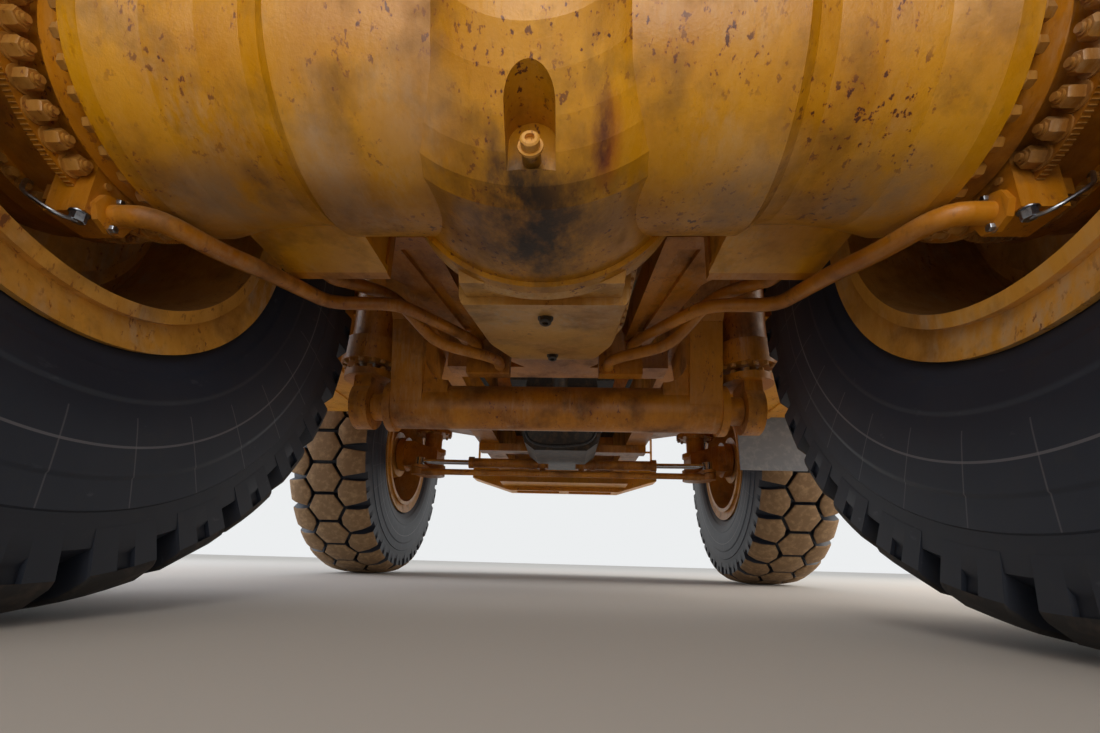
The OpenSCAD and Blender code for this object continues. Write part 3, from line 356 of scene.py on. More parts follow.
chromed_steel = plain("hard chromed rod", "#c9ccd0", 0.18, 1.0)
zinc_steel = plain("zinc-plated fitting", "#aab0b8", 0.32, 1.0, "#7c7f86", 12)
oily_iron = plain("cast iron, oily", "#2c2620", 0.45, 0.0, "#5b4630")
core_fins = plain("radiator core, dusty", "#3b3a38", 0.7, 0.2, "#5a5145", 30)
flap_rubber = plain("flap rubber, dusty", "#83888e", 0.8, 0.0, "#989a9d")
hose_rubber = plain("hose rubber", "#17181b", 0.5, 0.0, "#33312e", 40)
seat_vinyl = plain("seat vinyl, black", "#1b1c1f", 0.55)
scoured_steel = plain("bed plate, scoured by rock", "#6f6353", 0.6, 0.3, "#8c6d42", 240)
lamp_lens = plain("lamp lens", "#e4e6e2", 0.15)
window_glass, _, glass_shader = new_material("window glass, tinted")
glass_shader.inputs["Base Color"].default_value = linear("#b9c8cc")
glass_shader.inputs["Roughness"].default_value = 0.03
glass_shader.inputs["Transmission Weight"].default_value = 0.85
print("finishes so far:", len(bpy.data.materials))

# %% [markdown]
# ## Tyre rubber
# Sidewall rubber is blue-black and smooth. Fine raised lines on the mould leave pale hairlines:
# one ring near the widest place and spokes twelve degrees apart. They follow the wheel's own
# radius and angle, so the pattern turns with the tyre. The front tread's tops carry dry earth,
# and the rear ones are scuffed dark.

# %% Rubber


def sidewall_rubber(name, v):
    """Rubber for the tyres on the axle at station v. Radius r = |(y, z)| and angle a = atan2(y, z)
    are taken about that axle, and a line is where r or a is within a hair of its own value."""
    mat, tree, shader = new_material(name)
    here = add(tree, "ShaderNodeTexCoord").outputs["Object"]
    hub = tuple(-at(0, v, AXLE_Z))
    spoke = add(tree, "ShaderNodeMapping", {"Vector": here},
                {"Location": (0, hub[1], hub[2]), "Scale": (0, 1, 1)})
    radius = add(tree, "ShaderNodeVectorMath", {0: spoke.outputs[0]}, operation="LENGTH").outputs["Value"]
    part = add(tree, "ShaderNodeSeparateXYZ", {0: spoke.outputs[0]}).outputs
    angle = add(tree, "ShaderNodeMath", {0: part[1], 1: part[2]}, operation="ARCTAN2").outputs[0]
    turns = add(tree, "ShaderNodeMath", {0: angle}, {1: SPOKES / (2 * math.pi)},
                operation="MULTIPLY").outputs[0]
    beat = add(tree, "ShaderNodeMath", {0: turns}, {1: 0.5}, operation="PINGPONG").outputs[0]
    arc = add(tree, "ShaderNodeMath", {0: beat, 1: radius}, operation="MULTIPLY").outputs[0]
    hairline = add(tree, "ShaderNodeMapRange", {"Value": arc}, {"From Min": 0.016, "From Max": 0.006})
    between = add(tree, "ShaderNodeMath", {0: radius}, {1: SPOKE_MID_R, 2: SPOKE_REACH},
                  operation="COMPARE").outputs[0]
    lines = overlap(tree, hairline.outputs[0], between)
    ring_line = add(tree, "ShaderNodeMath", {0: radius}, {1: RING_R, 2: 0.004},
                    operation="COMPARE").outputs[0]
    dark_band = add(tree, "ShaderNodeMapRange", {"Value": radius}, {"From Min": 1.38, "From Max": 1.40})
    tone = layered(tree, "#222936", [
        (patches(tree, here, 320, 0.4, 0.62), 0.6, "#2b303b"),
        (dark_band.outputs[0], 0.55, "#191c25"),
        (patches(tree, here, 90, 0.55, 0.75, (1, 1, 1), 7.0, 0.7), 0.35, "#3a3733"),
        (patches(tree, here, 20, 0.66, 0.72, (1, 0.15, 0.3)), 0.4, "#53565c"),
        (lines, 0.55, "#6d6c70"),
        (ring_line, 0.65, "#77767a"),
    ])
    tree.links.new(tone, shader.inputs["Base Color"])
    shader.inputs["Roughness"].default_value = 0.5
    return mat


WIDE_R, RING_R = 1.13, 1.184
SPOKES, SPOKE_MID_R, SPOKE_REACH = 30, 1.235, 0.150
rear_rubber = sidewall_rubber("tyre rubber, rear", 0.0)
front_rubber = sidewall_rubber("tyre rubber, front", FRONT_V)
tread_rubber = plain("tread rubber, earthy", "#7d6142", 0.85, 0.0, "#9a7c58", 60)
scuffed_rubber = plain("tread rubber, scuffed", "#2b2826", 0.8, 0.0, "#4a3f37", 90)
print("rubbers:", [m.name for m in bpy.data.materials if "rubber" in m.name])

# %% [markdown]
# ### Every solid gets its finish
# The solids carry names, so the finish is chosen by how a name starts. The first line of the
# table that fits is used, and plate enamel is left for all the rest.

# %% Every solid gets its finish
FINISHES = [
    (cast_enamel, ("axle_housing",)),
    (pan_enamel, ("transmission",)),
    (rim_enamel, ("rim",)),
    (window_glass, ("cab_glass", "door_glass")),
    (core_fins, ("radiator",)),
    (oily_iron, ("engine", "air_cleaners", "drive_shaft")),
    (flap_rubber, ("mud_flap",)),
    (seat_vinyl, ("cab_seat",)),
    (lamp_lens, ("headlamps",)),
    (chromed_steel, ("hoist_stage", "steer_rod")),
    (scoured_steel, ("bed_floor",)),
    (rear_rubber, ("tyres_rear",)),
    (front_rubber, ("tyre_front",)),
    (under_enamel, ("frame_", "rear_frame", "front_frame", "brake_", "axle_frame", "rear_struts",
                    "front_struts", "tie_rod", "steering", "steer_barrel", "hoist", "knuckle",
                    "bed_beams")),
    (body_enamel, ("",)),
]
for name, thing in nodes.items():
    finish = next(mat for mat, starts in FINISHES if name.startswith(starts))
    thing.data.materials.clear()
    thing.data.materials.append(finish)
print(len(nodes), "solids have their finish")

# %% [markdown]
# ## Making shapes
# A shape is a pair: points as an array, and faces as lists of point numbers. Nuts, bolts and
# rings are profiles turned round an axis, tubes are circles carried along a path, and whatever
# repeats is one shape set at many places in one array sum.

# %% Turned and joined shapes


def turned(profile, sides):
    """A solid of revolution round Z: the point (r cos a, r sin a, h) for each (r, h) of the profile."""
    a = 2 * np.pi * np.arange(sides) / sides
    circle = np.stack([np.cos(a), np.sin(a)], 1)
    points = np.concatenate([np.column_stack([r * circle, np.full(sides, h)]) for r, h in profile])
    i = np.arange(sides)
    j = (i + 1) % sides
    walls = [np.column_stack([k * sides + i, k * sides + j, (k + 1) * sides + j, (k + 1) * sides + i])
             for k in range(len(profile) - 1)]
    last = (len(profile) - 1) * sides
    return points, np.concatenate(walls).tolist() + [i[::-1].tolist(), (last + i).tolist()]


def joined(*shapes):
    """Several shapes as one: the points stacked and the faces renumbered."""
    starts = np.cumsum([0] + [len(points) for points, _ in shapes])
    faces = [[int(i + s) for i in face] for s, (_, faces) in zip(starts, shapes) for face in faces]
    return np.concatenate([points for points, _ in shapes]), faces


def repeated(shape, places):
    """The shape once at each place. A place is a 3x4 matrix [R | t], and p becomes R p + t."""
    points, faces = shape
    moved = np.einsum("nij,pj->npi", places[:, :, :3], points) + places[:, None, :, 3]
    copies = [[i + k * len(points) for i in face] for k in range(len(places)) for face in faces]
    return moved.reshape(-1, 3), copies


# %% [markdown]
# ### Places
# A ring of forty bolts is one bolt and forty places. Each place is a turn and a shift, worked out
# for the whole ring at once from its centre, axis and radius, so no bolt is placed by hand.

# %% Places


def ring(centre, axis, radius, count, first=0.0):
    """Places evenly round an axis: local Z is the axis, and local X points away from it."""
    axis = np.array(axis, float) / np.linalg.norm(axis)
    side = np.cross(axis, (0.0, 0.0, 1.0)) if abs(axis[2]) < 0.9 else np.array([1.0, 0.0, 0.0])
    side = side / np.linalg.norm(side)
    a = np.radians(first) + 2 * np.pi * np.arange(count) / count
    away = np.outer(np.cos(a), side) + np.outer(np.sin(a), np.cross(axis, side))
    turn = np.stack([away, np.cross(axis, away), np.broadcast_to(axis, away.shape)], 2)
    return np.concatenate([turn, (np.array(centre) + radius * away)[:, :, None]], 2)


def row(start, end, count, axis):
    """Places evenly along a line, with local Z along the axis."""
    start, end = np.array(start), np.array(end)
    spots = [ring(start + t * (end - start), axis, 0.0, 1) for t in np.linspace(0, 1, count)]
    return np.concatenate(spots)


# %% [markdown]
# ### Bolts and nuts
# A hexagon head is a profile turned in six steps, and its washer one turned in fourteen. A few
# dozen faces are enough, since each is repeated many times and none is larger than a hand.

# %% Bolts and nuts


def bolt(flat, height):
    """A hexagon head on a washer: flat is the width across two of its flats."""
    corner = flat / math.sqrt(3)
    washer = turned([(1.25 * corner, 0), (1.25 * corner, 0.12 * height)], 14)
    head = turned([(corner, 0.1 * height), (corner, 0.85 * height), (0.84 * corner, height)], 6)
    return joined(washer, head)


def stud_nut(flat, height):
    """A nut on a washer with the stepped end of its stud standing out."""
    points, faces = bolt(flat, height)
    stud = turned([(0.33 * flat, 0.9 * height), (0.33 * flat, 1.15 * height), (0.22 * flat, 1.15 * height),
                   (0.22 * flat, 1.35 * height)], 12)
    return joined((points, faces), stud)


# %% [markdown]
# ### Paths and tubes
# A bent tube or a hose could be a curve object with a bevel. Here its circle is carried along the
# path by array sums, so that both sides of the truck and several runs make one mesh.

# %% Paths and tubes


def smooth_path(corners, trim, steps=6):
    """A path of straight runs whose corners are bends: q(t) = (1-t)^2 a + 2 t (1-t) c + t^2 b."""
    corners = [np.array(c, float) for c in corners]
    path = [corners[0]]
    t = np.linspace(0, 1, steps)[:, None]
    for before, c, after in zip(corners, corners[1:], corners[2:]):
        back, on = before - c, after - c
        a = c + back * min(0.45, trim / np.linalg.norm(back))
        b = c + on * min(0.45, trim / np.linalg.norm(on))
        path += list((1 - t) ** 2 * a + 2 * t * (1 - t) * c + t ** 2 * b)
    return np.array(path + [corners[-1]])


def tube(corners, radius, trim=0.12, sides=14):
    """A circle carried along a path. Its frame is square to the path's direction at every point."""
    path = smooth_path(corners, trim)
    along = np.gradient(path, axis=0)
    along /= np.linalg.norm(along, axis=1)[:, None]
    first = np.cross(along, (0.13, 0.29, 0.95))
    first /= np.linalg.norm(first, axis=1)[:, None]
    second = np.cross(along, first)
    a = 2 * np.pi * np.arange(sides) / sides
    circle = np.cos(a)[None, :, None] * first[:, None] + np.sin(a)[None, :, None] * second[:, None]
    points = (path[:, None] + radius * circle).reshape(-1, 3)
    i = np.arange(sides)
    walls = [np.column_stack([k * sides + i, k * sides + (i + 1) % sides, (k + 1) * sides + (i + 1) % sides,
                              (k + 1) * sides + i]) for k in range(len(path) - 1)]
    last = (len(path) - 1) * sides
    return points, np.concatenate(walls).tolist() + [i[::-1].tolist(), (last + i).tolist()]


def mirrored(points):
    """The same points on the truck's other side."""
    return [np.array(p) * (-1, 1, 1) for p in points]


# %% [markdown]
# ### Making an object
# Every piece of this file is made by one function: the mesh from its arrays, its material, faces
# turned outwards, sharp edges kept sharp by angle, and the body that it rides on.

# %% Making an object
added = {}


def piece(name, body, shape, material, angle=35.0, extra=None, marks=None):
    """Makes one object of a shape, turns its faces outwards, shades it and hangs it on a body."""
    mesh = bpy.data.meshes.new(name)
    mesh.from_pydata(np.asarray(shape[0]).tolist(), [], shape[1])
    mesh.materials.append(material)
    if extra is not None:
        mesh.materials.append(extra)
        mesh.polygons.foreach_set("material_index", np.array(marks, np.int32))
    work = bmesh.new()
    work.from_mesh(mesh)
    bmesh.ops.recalc_face_normals(work, faces=work.faces)
    work.to_mesh(mesh)
    work.free()
    mesh.shade_smooth()
    mesh.set_sharp_from_angle(angle=math.radians(angle))
    thing = bpy.data.objects.new(name, mesh)
    scene.collection.objects.link(thing)
    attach(thing, body)
    added[name] = sum(len(p.vertices) - 2 for p in mesh.polygons)
    return thing


# %% [markdown]
# ## Tyres
# Each tyre is a carcass turned round the axle and twenty-nine pitches of rock lugs. A pitch has a
# hexagon in the middle, drawn out across the tread to two points, and a half hexagon at each
# shoulder, half a pitch later, so the rows interlock. The carcass has the mould's low steps. A lug
# is a small grid: the rows at its rim drop to the groove's floor, which gives a rounded edge.

# %% Tyre sizes, as in the CAD source
LUGS = 29
LUG_DEPTH, SKIRT = 0.09, 0.16
PITCH_LEN = 2 * math.pi * TYRE_R / LUGS
TREAD_HALF = 0.96 * TYRE_HALF
HEX_TIP, HEX_FLAT = 0.49 * TREAD_HALF, 0.26 * TREAD_HALF
GROOVE, NOTCH = 0.038, 0.055
BEAD_R, FLANGE_R = 0.7405, 0.863
SHOULDER_R = TYRE_R - 0.20
EDGE = 0.016


def side_x(r):
    """Half width of the carcass at a radius: two parabolas that meet at the widest place."""
    inner = TYRE_HALF - (TYRE_HALF - 0.405) * ((WIDE_R - r) / (WIDE_R - FLANGE_R)) ** 2
    outer = TYRE_HALF - (TYRE_HALF - TREAD_HALF - 0.005) * ((r - WIDE_R) / (SHOULDER_R - WIDE_R)) ** 2
    return np.where(r < WIDE_R, inner, outer)


def crown_r(x):
    """Radius over the lugs at a distance from the tyre's middle: flat in the middle, lower outside."""
    return np.interp(np.abs(x) / TREAD_HALF, [0.25, 0.55, 0.80, 0.93, 1.0],
                     TYRE_R - np.array([0, 0.012, 0.034, 0.064, 0.100]))


# %% Carcass
STEPS = [(0.93, 0.005), (1.03, -0.004), (1.285, -0.005), (1.388, -0.006)]


def carcass(sides=174):
    """The turned body without lugs. Each step lifts or lowers the wall from its radius outwards."""
    edges = [[radius - 0.003, radius + 0.003] for radius, _ in STEPS]
    r = np.sort(np.concatenate([np.linspace(FLANGE_R, SHOULDER_R, 26)] + edges))
    lift = sum(height * (r > radius) for radius, height in STEPS)
    wall = np.column_stack([r, side_x(r) + lift])
    half = np.concatenate([[(BEAD_R, 0.3295), (0.80, 0.3295), (0.83, 0.3745)], wall,
                           [(SHOULDER_R + 0.004, TREAD_HALF - 0.01),
                            (TYRE_R - LUG_DEPTH - 0.04, 0.7 * TREAD_HALF),
                            (TYRE_R - LUG_DEPTH, HEX_TIP), (TYRE_R - LUG_DEPTH, 0.0)]])
    loop = np.concatenate([half, half[-2::-1] * (1, -1)])
    a = 2 * np.pi * np.arange(sides) / sides
    points = np.stack([np.broadcast_to(loop[None, :, 1], (sides, len(loop))),
                       np.sin(a)[:, None] * loop[None, :, 0], np.cos(a)[:, None] * loop[None, :, 0]], 2)
    i, k = np.meshgrid(np.arange(sides), np.arange(len(loop)), indexing="ij")
    j, m = (i + 1) % sides, (k + 1) % len(loop)
    number = lambda a, b: a * len(loop) + b
    faces = np.stack([number(i, k), number(j, k), number(j, m), number(i, m)], 2).reshape(-1, 4)
    return points.reshape(-1, 3), faces.tolist()


# %% [markdown]
# ### Lugs
# A rock lug could be a box with a bevel, but its sides follow the hexagon and its top follows the
# crown. So a lug is a sheet of points: one parameter runs across it, one along it, and the height
# at a point is the crown less the larger drop of its row and its column. Shoulder lugs also have
# a small recess in their outer side, which is cast there to cool the rubber.

# %% Lugs
RIM_ROWS = [(0.0, SKIRT), (0.0, EDGE), (0.35 * EDGE, 0.35 * EDGE), (EDGE, 0.0)]
RECESS_DROP, RECESS_IN, RECESS_SPAN = (0.016, 0.080), 0.016, 0.26


def lug(left, right, reach_in, reach_out, side_recess):
    """One lug round angle 0. Across it x = left(s) + (right(s) - left(s)) f, along it s = b reach(f).
    The radius is the crown's less the larger drop of its row and its column."""
    rows = RIM_ROWS + [(0.3, 0.0), (0.5, 0.0), (0.7, 0.0)] + [(1 - p, d) for p, d in RIM_ROWS[::-1]]
    b = np.array([2 * (p / (2 * reach_in) if p < 0.1 else p) - 1 if p < 0.5 else
                  2 * (1 - (1 - p) / (2 * reach_in) if p > 0.9 else p) - 1 for p, _ in rows])
    row_drop = np.array([d for _, d in rows])
    if side_recess:
        marks = [-RECESS_SPAN - 0.01, -RECESS_SPAN, RECESS_SPAN, RECESS_SPAN + 0.01]
        keep = np.abs(b) > 0.5
        b = np.concatenate([b[keep & (b < 0)], marks, b[keep & (b > 0)]])
        row_drop = np.concatenate([row_drop[keep][:4], np.zeros(4), row_drop[keep][-4:]])
    span = abs(right(0.0) - left(0.0))
    near_edge = [(p / span, d, 0.0) for p, d in RIM_ROWS]
    far_edge = [(1 - p / span, d, 0.0) for p, d in RIM_ROWS[::-1]]
    if side_recess:
        low, high = RECESS_DROP
        far_edge = far_edge[:-1] + [(1, low, 0), (1, low + 0.004, RECESS_IN), (1, high, RECESS_IN),
                                    (1, high + 0.004, 0), (1, SKIRT, 0)]
    columns = np.array(near_edge + [(0.35, 0.0, 0.0), (0.65, 0.0, 0.0)] + far_edge)
    f, drop, inset = columns[:, 0], columns[:, 1], columns[:, 2]
    s = b[:, None] * (reach_in + (reach_out - reach_in) * f)[None, :]
    x = left(s) + (right(s) - left(s)) * f[None, :]
    deep = np.abs(b)[:, None] <= RECESS_SPAN + 1e-6
    x = x - np.sign(x) * inset[None, :] * deep
    r = crown_r(x) - np.maximum(row_drop[:, None], drop[None, :])
    points = np.stack([x, r * np.sin(s / TYRE_R), r * np.cos(s / TYRE_R)], 2)
    n, m = s.shape
    i, k = np.meshgrid(np.arange(n - 1), np.arange(m - 1), indexing="ij")
    faces = np.stack([i * m + k, (i + 1) * m + k, (i + 1) * m + k + 1, i * m + k + 1], 2).reshape(-1, 4)
    height = np.maximum(row_drop[:, None], drop[None, :])
    corners = [height[:-1, :-1], height[1:, :-1], height[1:, 1:], height[:-1, 1:]]
    tops = np.maximum.reduce(corners) < EDGE + 1e-6
    return (points.reshape(-1, 3), faces.tolist()), tops.ravel().astype(int)


HALF = PITCH_LEN / 2


def hex_side(s):
    """Distance of the middle lug's side from the tyre's middle: a point at s = 0, nearer at its ends."""
    return HEX_TIP - (HEX_TIP - HEX_FLAT) * np.abs(s) / HALF - GROOVE / 2


def shoulder_inner(s):
    """The shoulder lug's inner side, which follows its neighbours half a pitch on."""
    return HEX_TIP - (HEX_TIP - HEX_FLAT) * (HALF - np.abs(s)) / HALF + GROOVE / 2


middle = lug(lambda s: -hex_side(s), hex_side, HALF - GROOVE / 2, HALF - GROOVE / 2, False)
outside = lug(shoulder_inner, lambda s: TREAD_HALF + 0 * s, HALF - GROOVE / 2, HALF - NOTCH, True)


def spun(shape, phase):
    """A shape at every pitch round the axle, phase pitches late: a turn about X by a each."""
    a = 2 * np.pi * (np.arange(LUGS) + phase) / LUGS
    zero, one = np.zeros(LUGS), np.ones(LUGS)
    turn = np.stack([np.stack([one, zero, zero, zero], 1),
                     np.stack([zero, np.cos(a), np.sin(a), zero], 1),
                     np.stack([zero, -np.sin(a), np.cos(a), zero], 1)], 1)
    return repeated(shape, turn)


# %% Assemble and place the tyres
body_part = carcass()
flipped = (outside[0][0] * (-1, 1, 1), outside[0][1])
tyre_shape = joined(body_part, spun(middle[0], 0.0), spun(outside[0], 0.5), spun(flipped, 0.5))
tyre_marks = np.concatenate([np.zeros(len(body_part[1]), int), np.tile(middle[1], LUGS),
                             np.tile(outside[1], LUGS), np.tile(outside[1], LUGS)])
for side, word in ((LEFT, "left"), (RIGHT, "right")):
    twins = [side * DUAL_X, side * (DUAL_X + DUAL_PITCH)]
    stations = [("tyre_front", f"wheel_front_{word}", [side * FRONT_X], FRONT_V, front_rubber, tread_rubber),
                ("tyres_rear", f"wheels_rear_{word}", twins, 0.0, rear_rubber, scuffed_rubber)]
    for kind, body, places, v, rubber, worn in stations:
        for k, x in enumerate(places):
            shape = (tyre_shape[0] + at(x, v, AXLE_Z), tyre_shape[1])
            tyre = piece(f"{kind}_{word}_mould_{k}", body, shape, rubber, 40, worn, tyre_marks)
            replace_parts(tyre, f"{kind}_{word}")
print("one tyre has", added["tyre_front_left_mould_0"], "triangles")

# %% [markdown]
# ## Bolted joints of the rear axle
# From the middle outwards on each side: bolts through the housing's flange, their heads against
# the brake; a ring of large nuts whose studs point back at the viewer; and small bolts close
# together round the brake's outer flange. All three rings share the axle's line.

# %% Wheel-end bolts
FLANGE_X, STUD_X, OUTER_X = 1.230, 1.395, 1.580
for side, word in ((LEFT, "left"), (RIGHT, "right")):
    heads = repeated(bolt(0.038, 0.034), ring(at(side * FLANGE_X, 0, AXLE_Z), (side, 0, 0), 0.402, 36, 5.0))
    nuts = repeated(stud_nut(0.050, 0.046), ring(at(side * STUD_X, 0, AXLE_Z), (-side, 0, 0), 0.404, 36))
    small = repeated(bolt(0.028, 0.022), ring(at(side * OUTER_X, 0, AXLE_Z), (-side, 0, 0), 0.428, 66))
    piece(f"flange_heads_{word}", "chassis", heads, bolt_enamel)
    piece(f"stud_nuts_{word}", "chassis", nuts, bolt_enamel)
    piece(f"outer_bolts_{word}", "chassis", small, bolt_enamel)
    print(word, "side's rings:", len(heads[0]) + len(nuts[0]) + len(small[0]), "points")

# %% [markdown]
# ### Serrated edge
# The ring that carries the studs has fine teeth round its rim. At this distance they are only a
# dotted line, so each tooth is a four-sided pin, drawn a little coarser than the real ones.

# %% Serrated edge of the stud ring
TEETH = 220
for side, word in ((LEFT, "left"), (RIGHT, "right")):
    tooth = turned([(0.0028, -0.011), (0.0028, 0.011)], 4)
    edge = repeated(tooth, ring(at(side * (STUD_X + 0.0125), 0, AXLE_Z), (side, 0, 0), 0.4425, TEETH))
    piece(f"ring_serration_{word}", "chassis", edge, bolt_enamel)
print(TEETH, "teeth, one each", round(1000 * 2 * math.pi * 0.4425 / TEETH, 1), "mm")

# %% Wheel nuts
wheel_nut = stud_nut(0.040, 0.034)
for side, word in ((LEFT, "left"), (RIGHT, "right")):
    hub_centre = at(side * (FRONT_X + 0.122), FRONT_V, AXLE_Z)
    dual_centre = at(side * (DUAL_X + DUAL_PITCH - 0.14), 0, AXLE_Z)
    hub = repeated(wheel_nut, ring(hub_centre, (side, 0, 0), 0.615, 24))
    dual = repeated(wheel_nut, ring(dual_centre, (side, 0, 0), 0.655, 32))
    piece(f"front_wheel_nuts_{word}", f"wheel_front_{word}", hub, bolt_enamel)
    piece(f"rear_wheel_nuts_{word}", f"wheels_rear_{word}", dual, bolt_enamel)
print("wheel nuts:", added["front_wheel_nuts_left"], "and", added["rear_wheel_nuts_left"], "triangles a side")

# %% [markdown]
# ## Drain plugs
# The housing's plug sits low in an arched niche, and the pan has two more in its bottom. Each is a
# turned head with a socket, and the same shape serves all three. The pan's own height is worked
# out first, so that its plugs stand on it.

# %% Plugs


def pan_low(v):
    """Height of the pan's bottom, which rises evenly to the front."""
    return 1.189 + 0.222 * (v - 0.42)


plug = joined(turned([(0.034, 0), (0.034, 0.008)], 20),
              turned([(0.026, 0.006), (0.026, 0.030), (0.021, 0.034), (0.013, 0.034), (0.013, 0.022)], 20))
niche = ring(at(0, -0.245, AXLE_Z - 0.44), (0, 1, 0), 0, 1)
piece("drain_plug", "chassis", repeated(plug, niche), rim_enamel)
pan_plugs = np.concatenate([ring(at(0, v, pan_low(v)), (0, 0.2, -1), 0, 1) for v in (0.62, 1.40)])
piece("pan_plugs", "chassis", repeated(plug, pan_plugs), oily_iron)
print("pan's bottom is", round(pan_low(0.62), 3), "m high at its rear plug")

# %% [markdown]
# ## Transmission pan
# The pan is drawn from one sheet: a flat rim with small bolts, rounded corners, sides that lean
# in and a bottom that rises to the front. A box with a bevel would have the same radius at every
# edge. Here seven outlines, from the rim down to the bottom, are joined by one skin, so each
# edge has its own radius.

# %% Drawn pan
PAN_REAR = 0.45
pan_rows = [
    (0.400, 1.190, 0.262, 1.660, 1.490, 1.515), (0.400, 1.190, 0.262, 1.660, 1.470, 1.495),
    (0.368, 1.180, 0.245, 1.628, 1.467, 1.492), (0.356, 1.180, 0.242, 1.612, 1.440, 1.475),
    (0.342, 1.175, 0.252, 1.585, pan_low(PAN_REAR) + 0.036, pan_low(1.585) + 0.022),
    (0.332, 1.170, 0.252, 1.570, pan_low(PAN_REAR) + 0.010, pan_low(1.570) + 0.006),
    (0.322, 1.160, 0.248, 1.550, pan_low(PAN_REAR), pan_low(1.550)),
]


def pan_outline(half, bend, front_half, front, rear_z, front_z):
    """One level of the pan: straight sides to the bend, then a cut corner to the front edge, with
    every corner rounded. Its height runs evenly from the rear to the front."""
    plan = [(-half, PAN_REAR), (-half, bend), (-front_half, front),
            (front_half, front), (half, bend), (half, PAN_REAR)]
    slope = (front_z - rear_z) / (front - PAN_REAR)
    return smooth_path([at(x, v, rear_z + slope * (v - PAN_REAR)) for x, v in plan], 0.07)


def lofted(outlines):
    """A skin through outlines with the same number of points, closed by a flat face at each end:
    point k of one outline is joined to point k of the next."""
    rows, count = len(outlines), len(outlines[0])
    i, k = np.meshgrid(np.arange(rows - 1), np.arange(count), indexing="ij")
    m = (k + 1) % count
    below, above = i * count, (i + 1) * count
    walls = np.stack([below + k, below + m, above + m, above + k], 2).reshape(-1, 4)
    ends = [np.arange(count)[::-1].tolist(), (np.arange(count) + (rows - 1) * count).tolist()]
    return np.concatenate(outlines), walls.tolist() + ends


piece("pan_tub", "chassis", lofted([pan_outline(*level) for level in pan_rows]), pan_enamel, 50)
rim_bolts = [row(at(side * 0.384, 0.55, 1.472), at(side * 0.384, 1.15, 1.484), 9, (0, 0, -1))
             for side in (LEFT, RIGHT)]
piece("pan_rim_bolts", "chassis", repeated(bolt(0.018, 0.012), np.concatenate(rim_bolts)), bolt_enamel)
print("pan:", added["pan_tub"], "triangles")

# %% [markdown]
# ## Brake cooling tubes
# Painted steel tube, bent cold, in the CAD model's own routes. The bends here are true curves
# where the solids have a sleeve. Each ends in a pressed flange with two bright bolts, beside a
# plated nut with a thin bleed line to the brake.

# %% Tubes
BRAKE_LINE = [(1.340, -0.040, 1.218), (1.190, -0.040, 1.218), (1.140, 0.180, 1.245),
              (1.100, 0.360, 1.290), (1.100, 0.860, 1.435), (0.800, 0.960, 1.490),
              (0.700, 1.120, 1.505), (0.500, 1.550, 1.560), (0.500, 1.640, 1.560)]
RETURN_LINE = [(1.020, 0.590, 1.475), (1.020, 0.700, 1.475), (0.990, 0.820, 1.530),
               (0.850, 1.050, 1.585), (0.690, 1.320, 1.440), (0.350, 1.520, 1.430),
               (0.350, 1.640, 1.430)]
LINE_R = 0.034
lines = []
for route in (BRAKE_LINE, RETURN_LINE):
    corners = [at(*p) for p in route]
    lines += [tube(corners, LINE_R, 0.11, 18), tube(mirrored(corners), LINE_R, 0.11, 18)]
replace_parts(piece("bent_tubes", "chassis", joined(*lines), under_enamel, 50), "brake_tubes")
print("bent tubes:", added["bent_tubes"], "triangles")

# %% Tube flanges and fittings
BLEED_LINE = [(1.370, -0.095, 1.160), (1.385, -0.140, 1.148), (1.470, -0.175, 1.200),
              (1.530, -0.130, 1.280), (1.579, -0.080, 1.310)]
TUBE_END_X = BRAKE_LINE[0][0]
flange = turned([(0.062, 0), (0.062, 0.020), (0.050, 0.024)], 8)
for side, word in ((LEFT, "left"), (RIGHT, "right")):
    seat = at(side * TUBE_END_X, -0.040, 1.218)
    pressed = repeated(flange, ring(seat, (-side, 0, 0), 0, 1))
    piece(f"tube_flange_{word}", "chassis", pressed, under_enamel)
    pair = ring(seat + (-side * 0.018, 0, 0), (-side, 0, 0), 0.047, 2, 90)
    piece(f"tube_flange_bolts_{word}", "chassis", repeated(bolt(0.022, 0.018), pair), zinc_steel)
    bleed = [at(side * x, v, z) for x, v, z in BLEED_LINE]
    nut = repeated(bolt(0.036, 0.030), ring(at(side * 1.370, -0.095, 1.186), (0, 0, -1), 0, 1))
    piece(f"bleed_line_{word}", "chassis", joined(tube(bleed, 0.006, 0.03, 10), nut), zinc_steel)
print("tube ends stand", TUBE_END_X, "m from the middle")

# %% [markdown]
# ## Hoists and struts
# Each hoist's gland is a ring of bolts under the barrel's collar, and its foot a bolted flange.

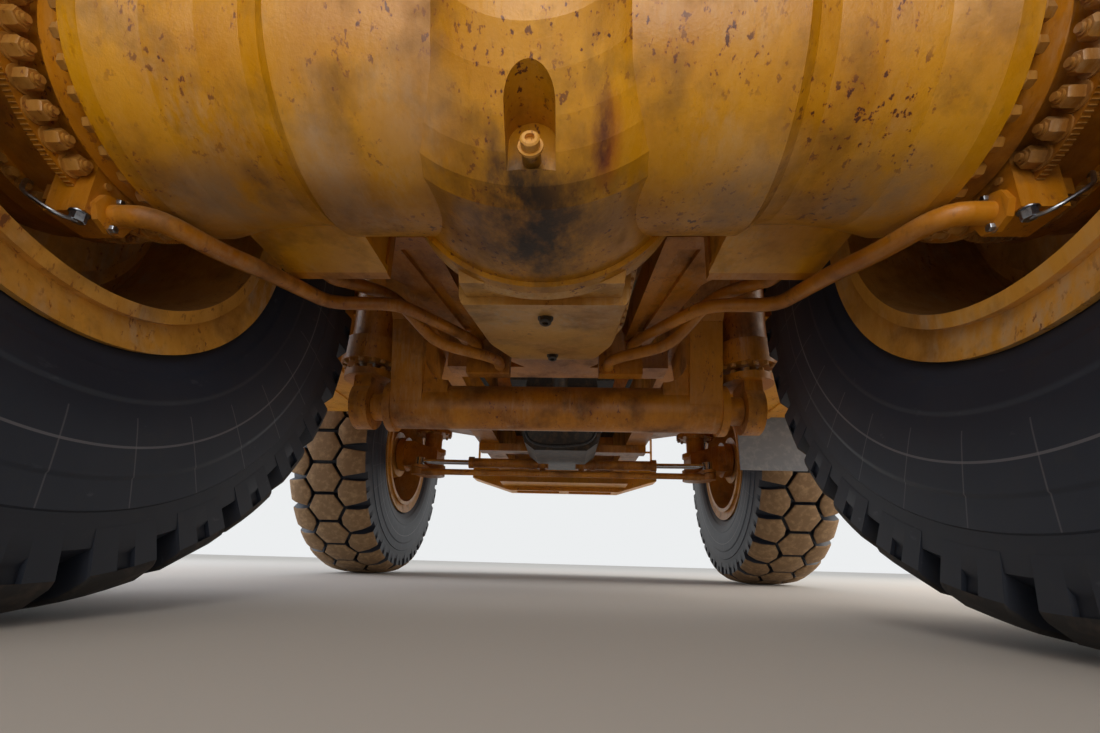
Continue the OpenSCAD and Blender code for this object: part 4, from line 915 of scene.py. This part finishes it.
# %% Gland and foot bolts
HOIST_X, TUBE_V, TUBE_Z = 1.345, 1.975, 1.250
for side, word in ((LEFT, "left"), (RIGHT, "right")):
    line = at(side * HOIST_X, TUBE_V, 0)
    gland = repeated(bolt(0.032, 0.022), ring(line + (0, 0, TUBE_Z + 0.299), (0, 0, -1), 0.186, 16))
    foot = repeated(bolt(0.036, 0.028), ring(line + (0, 0, TUBE_Z + 0.240), (0, 0, 1), 0.150, 10))
    piece(f"gland_bolts_{word}", f"hoist_barrel_{word}", gland, bolt_enamel)
    piece(f"foot_bolts_{word}", f"hoist_ram_{word}", foot, bolt_enamel)
    strut = repeated(bolt(0.034, 0.024), ring(at(side * 1.93, FRONT_V, 2.0), (0, 0, -1), 0.235, 14))
    piece(f"strut_bolts_{word}", "chassis", strut, bolt_enamel)
print("gland and foot:", added["gland_bolts_left"] + added["foot_bolts_left"], "triangles a hoist")

# %% [markdown]
# ## Hoses
# Black hydraulic hoses lie along the frame: one between the steering cylinders' ports, one across
# the bracket and one along each rail. Each goes into the frame or a port at both ends and sags
# between, as a circle carried along a smooth path. They are fixed to the frame and stay with it.

# %% Hoses
HOSES = [
    [(0.16, 5.02, 1.68), (0.10, 4.99, 1.58), (-0.05, 4.97, 1.60), (-0.22, 5.00, 1.60), (-0.28, 5.02, 1.70)],
    [(0.42, 4.05, 1.72), (0.36, 4.00, 1.50), (0.05, 4.02, 1.46), (-0.35, 4.06, 1.52), (-0.42, 4.08, 1.72)],
    [(0.66, 2.46, 1.72), (0.58, 2.62, 1.62), (0.60, 3.20, 1.60), (0.52, 3.90, 1.66), (0.42, 4.08, 1.86)],
    [(-0.62, 2.46, 1.72), (-0.56, 2.70, 1.60), (-0.50, 3.30, 1.63), (-0.46, 4.00, 1.70), (-0.41, 4.08, 1.88)],
]
hoses = joined(*[tube([at(*p) for p in route], 0.018, 0.14, 12) for route in HOSES])
piece("frame_hoses", "chassis", hoses, hose_rubber, 60)
print(len(HOSES), "hoses,", added["frame_hoses"], "triangles")

# %% [markdown]
# ## Last settings
# Colours are shown as they are written, with no filmic curve. What is added must not make the
# truck any bigger.

# %% Light and colour settings
scene.view_settings.view_transform = "Standard"
scene.cycles.use_denoising = True

# %% Size
print("added triangles", sum(added.values()), "in", len(added), "pieces, the largest", max(added.values()))
